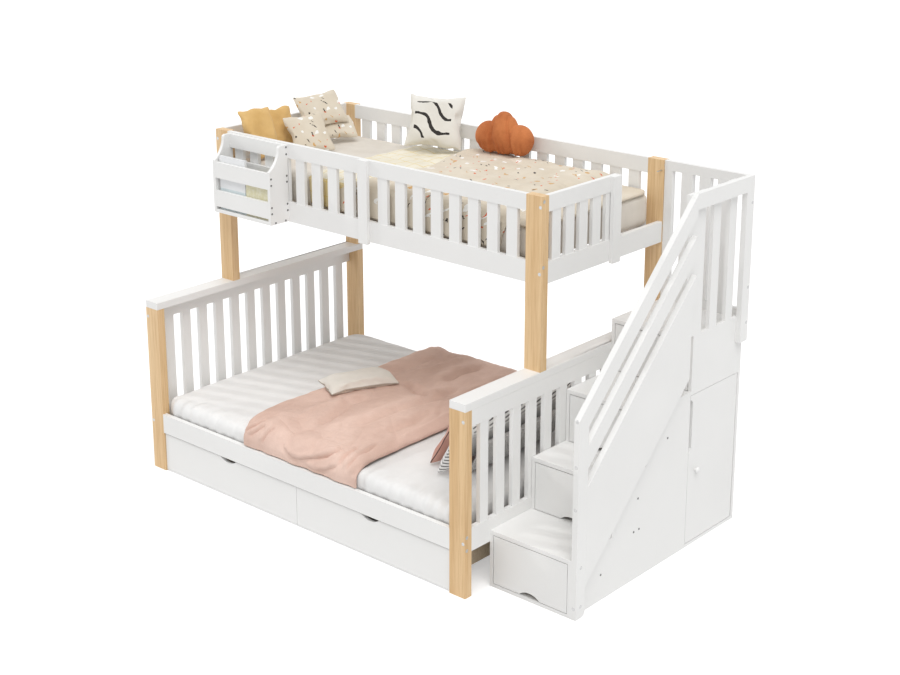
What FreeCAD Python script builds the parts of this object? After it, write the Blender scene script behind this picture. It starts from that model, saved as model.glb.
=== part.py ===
import FreeCAD, Part
import math
import os

# Bunk bed with storage stairs, in millimetres.
# Places are first worked out from the bed's left, front, bottom corner:
# x runs right along the bed, y runs back, z runs up.
# Every solid is then moved so that the origin is the middle of the footprint, on the floor.
# +X is then the long way, with the stairs at the +X end; drawers open towards -Y.

# Driving dimensions: lower bed, for a mattress of 1400 x 2000
BED_LENGTH = 2120.0
BED_WIDTH = 1458.0
POST_X = 90.0
LOWER_POST_Y = 42.0
LOWER_POST_TOP = 864.0
CAP_TOP = 900.0
BOARD = 24.0
END_RAIL_LOW = (214.0, 324.0)
END_RAIL_TOP = (790.0, 864.0)
END_SLATS = 12
END_SLAT_WIDTH = 53.0
SIDE_RAIL_Z = (208.0, 308.0)

# Upper bed, for a mattress of 900 x 2000
UPPER_FRONT = 500.0
UPPER_POST_Y = 44.0
TOP = 1696.0
UPPER_RAIL_LOW = (1300.0, 1400.0)
UPPER_RAIL_TOP = (1623.0, 1696.0)
GUARD_SLAT_WIDTH = 61.0
GUARD_SLAT_THICK = 18.0
GUARD_SLATS_EACH_HALF = 8
BATTEN_X = (1030.0, 1090.0)
BATTEN_THICK = 20.0
BATTEN_BOTTOM = 1290.0
BACK_GUARD_SLATS = 17
END_GUARD_FIRST_SLAT = 573.0
END_GUARD_PITCH = 97.5
RIGHT_GUARD_SLATS = 5
LEFT_GUARD_SLATS = 8
ENTRANCE_BATTEN_Y = (993.0, 1053.0)

# Slatted bases
BED_SLAT = (70.0, 18.0)
BED_SLAT_COUNT = 14
LOWER_BASE_TOP = 265.0
UPPER_BASE_TOP = 1370.0
CLEAT = (30.0, 30.0)
BEAM_WIDTH = 58.0
LEG_LENGTH_X = 50.0

# Book shelf on the front guard
SHELF_X = (109.0, 532.0)
SHELF_SIDE_THICK = 18.0
SHELF_FRONT = 378.0
SHELF_BOTTOM = 1303.0
SHELF_BOARD = 18.0

# Stairs
STAIR_X0 = BED_LENGTH
STAIR_X1 = 2563.0
PANEL = 18.0
TREAD = 20.0
STEP_FRONTS = (165.0, 452.0, 696.0, 1032.0)
TREAD_TOPS = (269.0, 518.0, 767.0, 1016.0)
STAIR_BACK = 1446.0
STAIR_BASE = 16.0
SIDE_ABOVE_LANDING = 18.0
CABINET_FRONT = 1030.0
CABINET_TOP = 750.0
DRAWER_DEPTHS = (420.0, 420.0, 320.0, 372.0)

# Handrail, in a layer outside the outer side panel
TOTAL_LENGTH = 2590.0
STILE_Y = (165.0, 230.0)
SLOPE = 0.97
SLOPE_START = (210.0, 945.0)
BOARD_DROP = (0.0, 104.0)
BOARD_2_DROP = (188.0, 292.0)
INFILL_DROP = (376.0, 830.0)
INFILL_REAR = (995.0, 972.0)
INFILL_REAR_Z = (1193.0, 1216.0)
LANDING_RAIL_Z = (1625.0, 1696.0)

# Gaps between a moving piece and its frame
GAP = 3.0
SLIP = 0.5

# Bolts: head radius, head depth, shank radius
BOLT_HEAD = 8.0
BOLT_HEAD_DEPTH = 3.0
BOLT_SHANK = 3.0
SCREW_HEAD = 5.0
SCREW_HEAD_DEPTH = 1.2

X_AXIS = FreeCAD.Vector(1, 0, 0)
Y_AXIS = FreeCAD.Vector(0, 1, 0)
Z_AXIS = FreeCAD.Vector(0, 0, 1)
TO_ORIGIN = FreeCAD.Vector(-TOTAL_LENGTH / 2, -BED_WIDTH / 2, 0)

nodes = {}


def block(x, y, z):
    """A box between pairs of low and high values."""
    corner = FreeCAD.Vector(x[0], y[0], z[0])
    return Part.makeBox(x[1] - x[0], y[1] - y[0], z[1] - z[0], corner)


def pair(low, size):
    return (low, low + size)


def cylinder(radius, length, start, axis):
    return Part.makeCylinder(radius, length, start, axis)


def plate_yz(points, x):
    """A flat board standing across X, cut to an outline of (y, z) points."""
    outline = Part.makePolygon([FreeCAD.Vector(x[0], y, z) for y, z in points + points[:1]])
    return Part.Face(outline).extrude(FreeCAD.Vector(x[1] - x[0], 0, 0))


def evenly(low, high, count, width):
    """Low edges of count equal pieces between low and high, with equal gaps at both ends too."""
    gap = (high - low - count * width) / (count + 1)
    return [low + gap + i * (gap + width) for i in range(count)]


def node(name, solids):
    nodes[name] = solids


# ---------------------------------------------------------------- lower bed

LEFT_END = (0.0, BOARD)
RIGHT_END = (BED_LENGTH - BOARD, BED_LENGTH)
LEFT_POST_X = (0.0, POST_X)
RIGHT_POST_X = (BED_LENGTH - POST_X, BED_LENGTH)
FRONT_POST_Y = (0.0, LOWER_POST_Y)
BACK_POST_Y = (BED_WIDTH - LOWER_POST_Y, BED_WIDTH)
BETWEEN_POSTS_X = (POST_X, BED_LENGTH - POST_X)
BETWEEN_POSTS_Y = (LOWER_POST_Y, BED_WIDTH - LOWER_POST_Y)
FRONT_BOARD_Y = (0.0, BOARD)
BACK_BOARD_Y = (BED_WIDTH - BOARD, BED_WIDTH)
SLAT_RECESS = 1.5


def lower_posts():
    for end, x in (("left", LEFT_POST_X), ("right", RIGHT_POST_X)):
        node("lower_post_front_" + end, [block(x, FRONT_POST_Y, (0, LOWER_POST_TOP))])
        node("lower_post_back_" + end, [block(x, BACK_POST_Y, (0, LOWER_POST_TOP))])


def end_board(x):
    """Headboard or footboard: two rails with upright slats between them."""
    slat_x = (x[0] + SLAT_RECESS, x[1] - SLAT_RECESS)
    slat_z = (END_RAIL_LOW[1], END_RAIL_TOP[0])
    solids = [block(x, BETWEEN_POSTS_Y, END_RAIL_LOW), block(x, BETWEEN_POSTS_Y, END_RAIL_TOP)]
    for y in evenly(BETWEEN_POSTS_Y[0], BETWEEN_POSTS_Y[1], END_SLATS, END_SLAT_WIDTH):
        solids.append(block(slat_x, pair(y, END_SLAT_WIDTH), slat_z))
    return solids


def lower_frame():
    node("headboard", end_board(LEFT_END))
    node("footboard", end_board(RIGHT_END))
    caps = [block(x, (0, BED_WIDTH), (LOWER_POST_TOP, CAP_TOP)) for x in (LEFT_POST_X, RIGHT_POST_X)]
    node("end_caps", caps)
    node("side_rail_front", [block(BETWEEN_POSTS_X, FRONT_BOARD_Y, SIDE_RAIL_Z)])
    node("side_rail_back", [block(BETWEEN_POSTS_X, BACK_BOARD_Y, SIDE_RAIL_Z)])


def cleats(front_y, back_y, base_top):
    """Two strips on the side rails' inner faces, just under the bed slats."""
    z = (base_top - BED_SLAT[1] - CLEAT[1], base_top - BED_SLAT[1])
    front = block(BETWEEN_POSTS_X, pair(front_y, CLEAT[0]), z)
    back = block(BETWEEN_POSTS_X, (back_y - CLEAT[0], back_y), z)
    return [front, back]


def bed_slats(y, base_top):
    z = (base_top - BED_SLAT[1], base_top)
    lows = evenly(BETWEEN_POSTS_X[0], BETWEEN_POSTS_X[1], BED_SLAT_COUNT, BED_SLAT[0])
    return [block(pair(x, BED_SLAT[0]), y, z) for x in lows]


def bed_bases():
    lower = cleats(BOARD, BED_WIDTH - BOARD, LOWER_BASE_TOP)
    upper = cleats(UPPER_FRONT + BOARD, BACK_POST_UPPER_Y[0], UPPER_BASE_TOP)
    middle = (BED_WIDTH - BEAM_WIDTH) / 2
    beam_z = (SIDE_RAIL_Z[0], LOWER_BASE_TOP - BED_SLAT[1])
    beam = block((LEFT_END[1], RIGHT_END[0]), pair(middle, BEAM_WIDTH), beam_z)
    leg_x = pair((BED_LENGTH - LEG_LENGTH_X) / 2, LEG_LENGTH_X)
    leg = block(leg_x, pair(middle, BEAM_WIDTH), (0, beam_z[0]))
    node("slat_supports", lower + upper + [beam, leg])
    node("lower_bed_slats", bed_slats((BOARD + 1, BED_WIDTH - BOARD - 1), LOWER_BASE_TOP))
    node("upper_bed_slats", bed_slats((UPPER_FRONT + BOARD + 1, BACK_POST_UPPER_Y[0] - 1), UPPER_BASE_TOP))


# ---------------------------------------------------------------- upper bed

FRONT_POST_UPPER_Y = (UPPER_FRONT, UPPER_FRONT + UPPER_POST_Y)
BACK_POST_UPPER_Y = (BED_WIDTH - UPPER_POST_Y, BED_WIDTH)
UPPER_BETWEEN_Y = (FRONT_POST_UPPER_Y[1], BACK_POST_UPPER_Y[0])
UPPER_FRONT_RAIL_Y = (UPPER_FRONT, UPPER_FRONT + BOARD)
UPPER_BACK_RAIL_Y = (BACK_POST_UPPER_Y[0], BACK_POST_UPPER_Y[0] + BOARD)
GUARD_SLAT_Z = (UPPER_RAIL_LOW[1], UPPER_RAIL_TOP[0])


def upper_posts():
    for end, x in (("left", LEFT_POST_X), ("right", RIGHT_POST_X)):
        node("upper_post_front_" + end, [block(x, FRONT_POST_UPPER_Y, (CAP_TOP, TOP))])
        node("upper_post_back_" + end, [block(x, BACK_POST_UPPER_Y, (CAP_TOP, TOP))])


def long_guard(rail_y, slat_lows):
    middle = (rail_y[0] + rail_y[1]) / 2
    slat_y = (middle - GUARD_SLAT_THICK / 2, middle + GUARD_SLAT_THICK / 2)
    solids = [block(BETWEEN_POSTS_X, rail_y, z) for z in (UPPER_RAIL_LOW, UPPER_RAIL_TOP)]
    for x in slat_lows:
        solids.append(block(pair(x, GUARD_SLAT_WIDTH), slat_y, GUARD_SLAT_Z))
    return solids


def end_guard(rail_x, top_rail_y, slat_count):
    middle = (rail_x[0] + rail_x[1]) / 2
    slat_x = (middle - GUARD_SLAT_THICK / 2, middle + GUARD_SLAT_THICK / 2)
    solids = [block(rail_x, UPPER_BETWEEN_Y, UPPER_RAIL_LOW), block(rail_x, top_rail_y, UPPER_RAIL_TOP)]
    for i in range(slat_count):
        y = pair(END_GUARD_FIRST_SLAT + i * END_GUARD_PITCH, GUARD_SLAT_WIDTH)
        solids.append(block(slat_x, y, GUARD_SLAT_Z))
    return solids


def upper_guards():
    halves = ((BETWEEN_POSTS_X[0], BATTEN_X[0]), (BATTEN_X[1], BETWEEN_POSTS_X[1]))
    front_lows = [x for low, high in halves
                  for x in evenly(low, high, GUARD_SLATS_EACH_HALF, GUARD_SLAT_WIDTH)]
    back_lows = evenly(BETWEEN_POSTS_X[0], BETWEEN_POSTS_X[1], BACK_GUARD_SLATS, GUARD_SLAT_WIDTH)
    node("guard_front", long_guard(UPPER_FRONT_RAIL_Y, front_lows))
    node("guard_back", long_guard(UPPER_BACK_RAIL_Y, back_lows))
    node("guard_left", end_guard(LEFT_END, UPPER_BETWEEN_Y, LEFT_GUARD_SLATS))
    right_rail_y = (UPPER_BETWEEN_Y[0], ENTRANCE_BATTEN_Y[1])
    node("guard_right", end_guard(RIGHT_END, right_rail_y, RIGHT_GUARD_SLATS))
    batten_z = (BATTEN_BOTTOM, TOP)
    front = block(BATTEN_X, (UPPER_FRONT - BATTEN_THICK, UPPER_FRONT), batten_z)
    entrance = block(pair(BED_LENGTH, BATTEN_THICK), ENTRANCE_BATTEN_Y, batten_z)
    node("guard_battens", [front, entrance])


# ---------------------------------------------------------------- book shelf

SHELF_REAR = UPPER_FRONT
# Heights and depths of the shelf side's curved front edge
SHELF_TOP = 1690.0
SHELF_TOP_DEPTH = 43.0
SHELF_WAIST = (430.0, 1625.0)
SHELF_SHOULDER = (SHELF_FRONT, 1570.0)
SHELF_FRONT_BOARDS = ((1334.0, 1417.0), (1482.0, 1564.0))
SHELF_BACK_BOARDS = ((1340.0, 1417.0), (1482.0, 1560.0), (1620.0, 1690.0))
SHELF_FLOOR_THICK = 17.0
# Two books standing behind the front boards: low and high x, height of the top
BOOKS = ((140.0, 328.0, 1594.0), (334.0, 495.0, 1556.0))
BOOK_THICK = 14.0


def shelf_side(x):
    """Side board whose front edge sweeps back from a shoulder to a narrow top."""
    def at(y, z):
        return FreeCAD.Vector(x[0], y, z)
    top_front = at(SHELF_REAR - SHELF_TOP_DEPTH, SHELF_TOP)
    round_end = at(SHELF_REAR - SHELF_TOP_DEPTH - 14, SHELF_TOP - 16)
    round_mid = at(SHELF_REAR - SHELF_TOP_DEPTH - 10, SHELF_TOP - 4)
    shoulder = at(SHELF_SHOULDER[0], SHELF_SHOULDER[1])
    edges = [
        Part.LineSegment(at(SHELF_REAR, SHELF_BOTTOM), at(SHELF_REAR, SHELF_TOP)).toShape(),
        Part.LineSegment(at(SHELF_REAR, SHELF_TOP), top_front).toShape(),
        Part.Arc(top_front, round_mid, round_end).toShape(),
        Part.Arc(round_end, at(SHELF_WAIST[0], SHELF_WAIST[1]), shoulder).toShape(),
        Part.LineSegment(shoulder, at(SHELF_FRONT, SHELF_BOTTOM)).toShape(),
        Part.LineSegment(at(SHELF_FRONT, SHELF_BOTTOM), at(SHELF_REAR, SHELF_BOTTOM)).toShape(),
    ]
    return Part.Face(Part.Wire(edges)).extrude(FreeCAD.Vector(x[1] - x[0], 0, 0))


def book_shelf():
    left = pair(SHELF_X[0], SHELF_SIDE_THICK)
    right = (SHELF_X[1] - SHELF_SIDE_THICK, SHELF_X[1])
    inside = (left[1], right[0])
    node("book_shelf_sides", [shelf_side(left), shelf_side(right)])
    boards = [block(inside, pair(SHELF_FRONT, SHELF_BOARD), z) for z in SHELF_FRONT_BOARDS]
    boards += [block(inside, (SHELF_REAR - SHELF_BOARD, SHELF_REAR), z) for z in SHELF_BACK_BOARDS]
    boards.append(block(inside, (SHELF_FRONT, SHELF_REAR), pair(SHELF_BOTTOM, SHELF_FLOOR_THICK)))
    node("book_shelf_boards", boards)
    book_y = pair(SHELF_FRONT + SHELF_BOARD + 2, BOOK_THICK)
    book_bottom = SHELF_BOTTOM + SHELF_FLOOR_THICK
    node("books", [block((x0, x1), book_y, (book_bottom, top)) for x0, x1, top in BOOKS])


# ---------------------------------------------------------------- stairs

INNER_PANEL_X = pair(STAIR_X0, PANEL)
OUTER_PANEL_X = (STAIR_X1 - PANEL, STAIR_X1)
INSIDE_X = (INNER_PANEL_X[1], OUTER_PANEL_X[0])
HANDRAIL_X = (STAIR_X1, TOTAL_LENGTH)
LANDING = TREAD_TOPS[3]
BACK_PANEL_Y = (STAIR_BACK - PANEL, STAIR_BACK)
TREAD_BOTTOMS = tuple(top - TREAD for top in TREAD_TOPS)
DRAWER_FLOORS = (STAIR_BASE,) + TREAD_TOPS[:3]
PARTITION_Y = pair(CABINET_FRONT, PANEL)
CABINET_SHELF_Z = 385.0


def stepped_outline(tops, last_top):
    """Side outline: up at each step's front, then level at that step's top, last step at last_top."""
    points = [(STEP_FRONTS[0], 0.0)]
    for i in range(3):
        points.append((STEP_FRONTS[i], tops[i]))
        points.append((STEP_FRONTS[i + 1], tops[i]))
    points.append((STEP_FRONTS[3], last_top))
    points.append((STAIR_BACK, last_top))
    return points


def stair_sides():
    inner = stepped_outline(TREAD_BOTTOMS, TREAD_BOTTOMS[3]) + [(STAIR_BACK, 0.0)]
    node("stair_inner_panel", [plate_yz(inner, INNER_PANEL_X)])
    outer = stepped_outline(TREAD_TOPS, LANDING + SIDE_ABOVE_LANDING)
    outer += [(STAIR_BACK, CABINET_TOP), (CABINET_FRONT, CABINET_TOP), (CABINET_FRONT, 0.0)]
    node("stair_outer_panel", [plate_yz(outer, OUTER_PANEL_X)])


def stair_treads():
    """Four boards on the inner panel's steps, butting against the outer panel; the last is the landing."""
    x = (STAIR_X0, OUTER_PANEL_X[0])
    backs = STEP_FRONTS[1:] + (STAIR_BACK,)
    depths = zip(STEP_FRONTS, backs)
    heights = zip(TREAD_BOTTOMS, TREAD_TOPS)
    node("stair_treads", [block(x, y, z) for y, z in zip(depths, heights)])


def stair_boards():
    """Boards inside the stairs: base, drawer shelves, partition, back, cabinet shelf."""
    base = block(INSIDE_X, (STEP_FRONTS[0], CABINET_FRONT), (0, STAIR_BASE))
    cabinet_base = block((INSIDE_X[0], STAIR_X1), (CABINET_FRONT, STAIR_BACK), (0, STAIR_BASE))
    shelf_ends = (CABINET_FRONT, CABINET_FRONT, BACK_PANEL_Y[0])
    shelves = []
    for i in range(3):
        y = (STEP_FRONTS[i + 1], shelf_ends[i])
        shelves.append(block(INSIDE_X, y, (TREAD_BOTTOMS[i], TREAD_TOPS[i])))
    partition = block(INSIDE_X, PARTITION_Y, (STAIR_BASE, TREAD_BOTTOMS[2]))
    back = block(INSIDE_X, BACK_PANEL_Y, (STAIR_BASE, TREAD_BOTTOMS[3]))
    back_edge = block(OUTER_PANEL_X, BACK_PANEL_Y, (STAIR_BASE, CABINET_TOP))
    cabinet_shelf_y = (PARTITION_Y[1], BACK_PANEL_Y[0])
    cabinet_shelf = block((INSIDE_X[0], INSIDE_X[1] - GAP), cabinet_shelf_y, pair(CABINET_SHELF_Z, PANEL))
    node("stair_boards", [base, cabinet_base] + shelves + [partition, back, back_edge, cabinet_shelf])


# Stair drawers
NOTCH_WIDTH = 112.0
NOTCH_RISE = 20.0
STAIR_DRAWER_SIDE = 12.0
STAIR_DRAWER_FLOOR = 8.0
RUNNER_TOP = 26.0
RUNNER_WIDTH = 20.0
DRAWER_TOP_CLEARANCE = 28.0


def notch(centre_x, edge_z, y, upward):
    """A round-topped finger notch through a drawer front, standing on edge_z or hanging from it."""
    half = NOTCH_WIDTH / 2
    radius = (half * half + NOTCH_RISE * NOTCH_RISE) / (2 * NOTCH_RISE)
    centre_z = edge_z + (NOTCH_RISE - radius) * upward
    start = FreeCAD.Vector(centre_x, y[0] - 1, centre_z)
    return cylinder(radius, y[1] - y[0] + 2, start, Y_AXIS)


def stair_drawer(i):
    """Front with its notch, two sides, back and bottom; the sides slide on the runner strips."""
    floor = DRAWER_FLOORS[i]
    front_x = (INSIDE_X[0] + GAP, INSIDE_X[1] - GAP)
    front_y = pair(STEP_FRONTS[i], PANEL)
    front_z = (floor + GAP, TREAD_BOTTOMS[i] - GAP)
    centre_x = (front_x[0] + front_x[1]) / 2
    front = block(front_x, front_y, front_z).cut(notch(centre_x, front_z[0], front_y, 1))
    box_y = pair(front_y[1], DRAWER_DEPTHS[i] - PANEL)
    box_z = (floor + RUNNER_TOP, front_z[1] - DRAWER_TOP_CLEARANCE)
    left = pair(front_x[0], STAIR_DRAWER_SIDE)
    right = (front_x[1] - STAIR_DRAWER_SIDE, front_x[1])
    inside = (left[1], right[0])
    back_y = (box_y[1] - STAIR_DRAWER_SIDE, box_y[1])
    sides = [block(left, box_y, box_z), block(right, box_y, box_z)]
    back = block(inside, back_y, box_z)
    bottom = block(inside, (box_y[0], back_y[0]), pair(box_z[0], STAIR_DRAWER_FLOOR))
    return [front] + sides + [back, bottom]


def stair_drawers():
    runners = []
    for i in range(4):
        node("stair_drawer_%d" % (i + 1), stair_drawer(i))
        y = (STEP_FRONTS[i] + PANEL + GAP, STEP_FRONTS[i] + DRAWER_DEPTHS[i])
        z = (DRAWER_FLOORS[i], DRAWER_FLOORS[i] + RUNNER_TOP - SLIP)
        runners.append(block(pair(INSIDE_X[0], RUNNER_WIDTH), y, z))
        runners.append(block((INSIDE_X[1] - RUNNER_WIDTH, INSIDE_X[1]), y, z))
    node("drawer_runners", runners)


# Cabinet door, flush in the outer side, on two upright pins at its rear edge
DOOR_Y = (CABINET_FRONT + 2.0, BACK_PANEL_Y[0])
DOOR_TOP_GAP = 2.0
DOOR_Z = (STAIR_BASE + GAP, CABINET_TOP - DOOR_TOP_GAP)
HINGE = (STAIR_X1 - PANEL / 2, BACK_PANEL_Y[0] - PANEL / 2 - 1.0)
GRIP_Z = (468.0, 732.0)
GRIP_DEPTH = 20.0
PIN_RADIUS = 3.0
PIN_IN_DOOR = 30.0
PIN_IN_FRAME = 10.0
KNOB_YZ = (1092.0, 372.0)
KNOB_RADIUS = 14.0
KNOB_LENGTH = 25.0


def cabinet_door():
    """Door board with a rounded hinge edge and a cut-out grip."""
    leaf = block(OUTER_PANEL_X, (DOOR_Y[0], HINGE[1]), DOOR_Z)
    start = FreeCAD.Vector(HINGE[0], HINGE[1], DOOR_Z[0])
    edge = cylinder(PANEL / 2, DOOR_Z[1] - DOOR_Z[0], start, Z_AXIS)
    y0 = DOOR_Y[0]
    grip = [(y0 - 5, GRIP_Z[0] - 5), (y0, GRIP_Z[0]), (y0 + GRIP_DEPTH, GRIP_Z[0] + GRIP_DEPTH)]
    grip += [(y0 + GRIP_DEPTH, GRIP_Z[1] - GRIP_DEPTH), (y0, GRIP_Z[1]), (y0 - 5, GRIP_Z[1] + 5)]
    door = leaf.fuse(edge).cut(plate_yz(grip, (OUTER_PANEL_X[0] - 1, OUTER_PANEL_X[1] + 1)))
    node("cabinet_door", [door.removeSplitter()])


def door_knob():
    """A turned knob: short stem, then a flattened ball."""
    def at(out, radius):
        return FreeCAD.Vector(STAIR_X1 + out, KNOB_YZ[0] + radius, KNOB_YZ[1])
    stem = KNOB_RADIUS * 0.4
    edges = [
        Part.LineSegment(at(0, 0), at(0, stem)).toShape(),
        Part.LineSegment(at(0, stem), at(8, stem)).toShape(),
        Part.Arc(at(8, stem), at(14, KNOB_RADIUS), at(KNOB_LENGTH - 3, KNOB_RADIUS * 0.7)).toShape(),
        Part.LineSegment(at(KNOB_LENGTH - 3, KNOB_RADIUS * 0.7), at(KNOB_LENGTH, 0)).toShape(),
        Part.LineSegment(at(KNOB_LENGTH, 0), at(0, 0)).toShape(),
    ]
    profile = Part.Face(Part.Wire(edges))
    centre = FreeCAD.Vector(STAIR_X1, KNOB_YZ[0], KNOB_YZ[1])
    node("door_knob", [profile.revolve(centre, X_AXIS, 360)])


# ---------------------------------------------------------------- handrail and landing guards

STILE_FOOT_RADIUS = 28.0
LANDING_SLAT_Y = ((960.0, 1090.0), (1155.0, 1215.0), (1290.0, 1348.0))
CORNER_POST_Y = (1385.0, STAIR_BACK)
CORNER_POST_BOTTOM = 910.0
LANDING_RAIL_START = 985.0
REAR_RAIL_Z = (1650.0, 1696.0)
REAR_BOTTOM_RAIL_Z = (LANDING, 1060.0)
REAR_GUARD_Y = (1420.0, STAIR_BACK)
REAR_STILE_X = (2121.0, 2165.0)
REAR_SLAT_LOWS = (2215.0, 2313.0, 2411.0)
REAR_SLAT_WIDTH = 60.0


def slope_z(y, drop):
    return SLOPE_START[1] + SLOPE * (y - SLOPE_START[0]) - drop


def sloping_board(drop, start_y, end_y):
    """A board along the slope with upright ends; drop is how far its edges lie under the slope line."""
    top = [(start_y, slope_z(start_y, drop[0])), (end_y, min(TOP, slope_z(end_y, drop[0])))]
    flat = [((TOP - SLOPE_START[1] + drop[0]) / SLOPE + SLOPE_START[0], TOP)]
    if flat[0][0] >= end_y:
        flat = []
    bottom = [(end_y, slope_z(end_y, drop[1])), (start_y, slope_z(start_y, drop[1]))]
    return plate_yz(top[:1] + flat + top[1:] + bottom, HANDRAIL_X)


def front_stile():
    """Stile with its top cut along the slope and a rounded rear foot."""
    y0, y1 = STILE_Y
    r = STILE_FOOT_RADIUS
    x = HANDRAIL_X[0]
    foot_mid = FreeCAD.Vector(x, y1 - r + r * math.sin(math.pi / 4), r - r * math.cos(math.pi / 4))
    corners = [(y1, r), (y1, slope_z(y1, 0)), (y0, slope_z(y0, 0)), (y0, 0), (y1 - r, 0)]
    points = [FreeCAD.Vector(x, y, z) for y, z in corners]
    edges = [Part.LineSegment(points[i], points[i + 1]).toShape() for i in range(4)]
    edges.append(Part.Arc(points[4], foot_mid, points[0]).toShape())
    return Part.Face(Part.Wire(edges)).extrude(FreeCAD.Vector(HANDRAIL_X[1] - x, 0, 0))


def handrail():
    node("handrail_stile", [front_stile()])
    start = STILE_Y[1]
    rails = [sloping_board(drop, start, LANDING_RAIL_START) for drop in (BOARD_DROP, BOARD_2_DROP)]
    node("handrail_boards", rails)
    end, cut_in = INFILL_REAR
    infill = [(y, slope_z(y, INFILL_DROP[0])) for y in (start, end)]
    infill += [(end, INFILL_REAR_Z[1]), (cut_in, INFILL_REAR_Z[0])]
    infill += [(y, slope_z(y, INFILL_DROP[1])) for y in (cut_in, start)]
    node("handrail_infill", [plate_yz(infill, HANDRAIL_X)])


def landing_guards():
    slat_z = (LANDING + SIDE_ABOVE_LANDING, TOP - 6)
    side = [block(OUTER_PANEL_X, y, slat_z) for y in LANDING_SLAT_Y]
    side.append(block(HANDRAIL_X, (LANDING_RAIL_START, CORNER_POST_Y[0]), LANDING_RAIL_Z))
    side.append(block(HANDRAIL_X, CORNER_POST_Y, (CORNER_POST_BOTTOM, TOP)))
    node("landing_side_guard", side)
    rear_x = (STAIR_X0, OUTER_PANEL_X[1])
    rear = [block(rear_x, REAR_GUARD_Y, REAR_RAIL_Z)]
    rear.append(block((REAR_STILE_X[0], OUTER_PANEL_X[0]), REAR_GUARD_Y, REAR_BOTTOM_RAIL_Z))
    upright_z = (REAR_BOTTOM_RAIL_Z[1], REAR_RAIL_Z[0])
    rear.append(block(REAR_STILE_X, REAR_GUARD_Y, upright_z))
    for x in REAR_SLAT_LOWS:
        rear.append(block(pair(x, REAR_SLAT_WIDTH), REAR_GUARD_Y, upright_z))
    node("landing_rear_guard", rear)


# ---------------------------------------------------------------- under-bed drawers

BED_DRAWER_X = ((92.0, 1059.0), (1061.0, 2028.0))
BED_DRAWER_FRONT_Y = (8.0, 26.0)
BED_DRAWER_FRONT_Z = (6.0, 201.0)
BED_DRAWER_DEPTH = 670.0
BED_DRAWER_SIDE = 15.0
BED_DRAWER_BOX_Z = (50.0, 185.0)
BED_DRAWER_SETBACK = 30.0
WHEEL_RADIUS = 22.0
WHEEL_WIDTH = 18.0
WHEEL_INSET_X = 110.0
WHEEL_ROWS_Y = (110.0, 590.0)
AXLE_RADIUS = 3.0
FORK_PLATE = (44.0, 50.0, 2.5)
FORK_CHEEK = 3.0
FORK_GAP = 3.0


def bed_drawer(x):
    centre_x = (x[0] + x[1]) / 2
    front = block(x, BED_DRAWER_FRONT_Y, BED_DRAWER_FRONT_Z)
    front = front.cut(notch(centre_x, BED_DRAWER_FRONT_Z[1], BED_DRAWER_FRONT_Y, -1))
    box_x = (x[0] + BED_DRAWER_SETBACK, x[1] - BED_DRAWER_SETBACK)
    box_y = pair(BED_DRAWER_FRONT_Y[1], BED_DRAWER_DEPTH - PANEL)
    left = pair(box_x[0], BED_DRAWER_SIDE)
    right = (box_x[1] - BED_DRAWER_SIDE, box_x[1])
    inside = (left[1], right[0])
    back_y = (box_y[1] - BED_DRAWER_SIDE, box_y[1])
    sides = [block(left, box_y, BED_DRAWER_BOX_Z), block(right, box_y, BED_DRAWER_BOX_Z)]
    back = block(inside, back_y, BED_DRAWER_BOX_Z)
    bottom_z = pair(BED_DRAWER_BOX_Z[0], STAIR_DRAWER_FLOOR)
    bottom = block(inside, (box_y[0], back_y[0]), bottom_z)
    return [front] + sides + [back, bottom]


def wheel(centre):
    """A wheel with a short axle stub on each side."""
    half = WHEEL_WIDTH / 2
    tyre = cylinder(WHEEL_RADIUS, WHEEL_WIDTH, centre - X_AXIS * half, X_AXIS)
    stub = FORK_GAP - 0.4
    left = cylinder(AXLE_RADIUS, stub, centre - X_AXIS * (half + stub), X_AXIS)
    right = cylinder(AXLE_RADIUS, stub, centre + X_AXIS * half, X_AXIS)
    return [tyre, left, right]


def fork(centre):
    """Plate under the drawer with a cheek on each side of the wheel."""
    plate_top = BED_DRAWER_BOX_Z[0]
    plate_z = (plate_top - FORK_PLATE[2], plate_top)
    x = (centre.x - FORK_PLATE[0] / 2, centre.x + FORK_PLATE[0] / 2)
    y = (centre.y - FORK_PLATE[1] / 2, centre.y + FORK_PLATE[1] / 2)
    reach = WHEEL_WIDTH / 2 + FORK_GAP
    cheek_y = (centre.y - AXLE_RADIUS * 3, centre.y + AXLE_RADIUS * 3)
    cheek_z = (centre.z - AXLE_RADIUS * 2, plate_z[0])
    left = block((centre.x - reach - FORK_CHEEK, centre.x - reach), cheek_y, cheek_z)
    right = block((centre.x + reach, centre.x + reach + FORK_CHEEK), cheek_y, cheek_z)
    return [block(x, y, plate_z), left, right]


def bed_drawers():
    for side, x in zip(("left", "right"), BED_DRAWER_X):
        node("bed_drawer_" + side, bed_drawer(x))
        forks = []
        for row, y in zip(("front", "rear"), WHEEL_ROWS_Y):
            wheels = []
            for wheel_x in (x[0] + WHEEL_INSET_X, x[1] - WHEEL_INSET_X):
                centre = FreeCAD.Vector(wheel_x, y, WHEEL_RADIUS)
                wheels += wheel(centre)
                forks += fork(centre)
            node("%s_drawer_%s_wheels" % (side, row), wheels)
        node("%s_drawer_forks" % side, forks)


# ---------------------------------------------------------------- bolts and screws

END_RAIL_BOLT_Z = (258.0, 818.0)
SIDE_RAIL_BOLT_Z = (226.0, 287.0)
UPPER_END_BOLT_Z = (1349.0, 1647.0)
UPPER_SIDE_BOLT_Z = (1379.0, 1672.0)
IN_RAIL = 35.0
DOWEL_DEPTH = 26.0
DOWEL_RADIUS = 4.0

HEAD_CLEARANCE = 0.4
SHANK_CLEARANCE = 0.3

bolts = []
pins = []
holes = []


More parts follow.
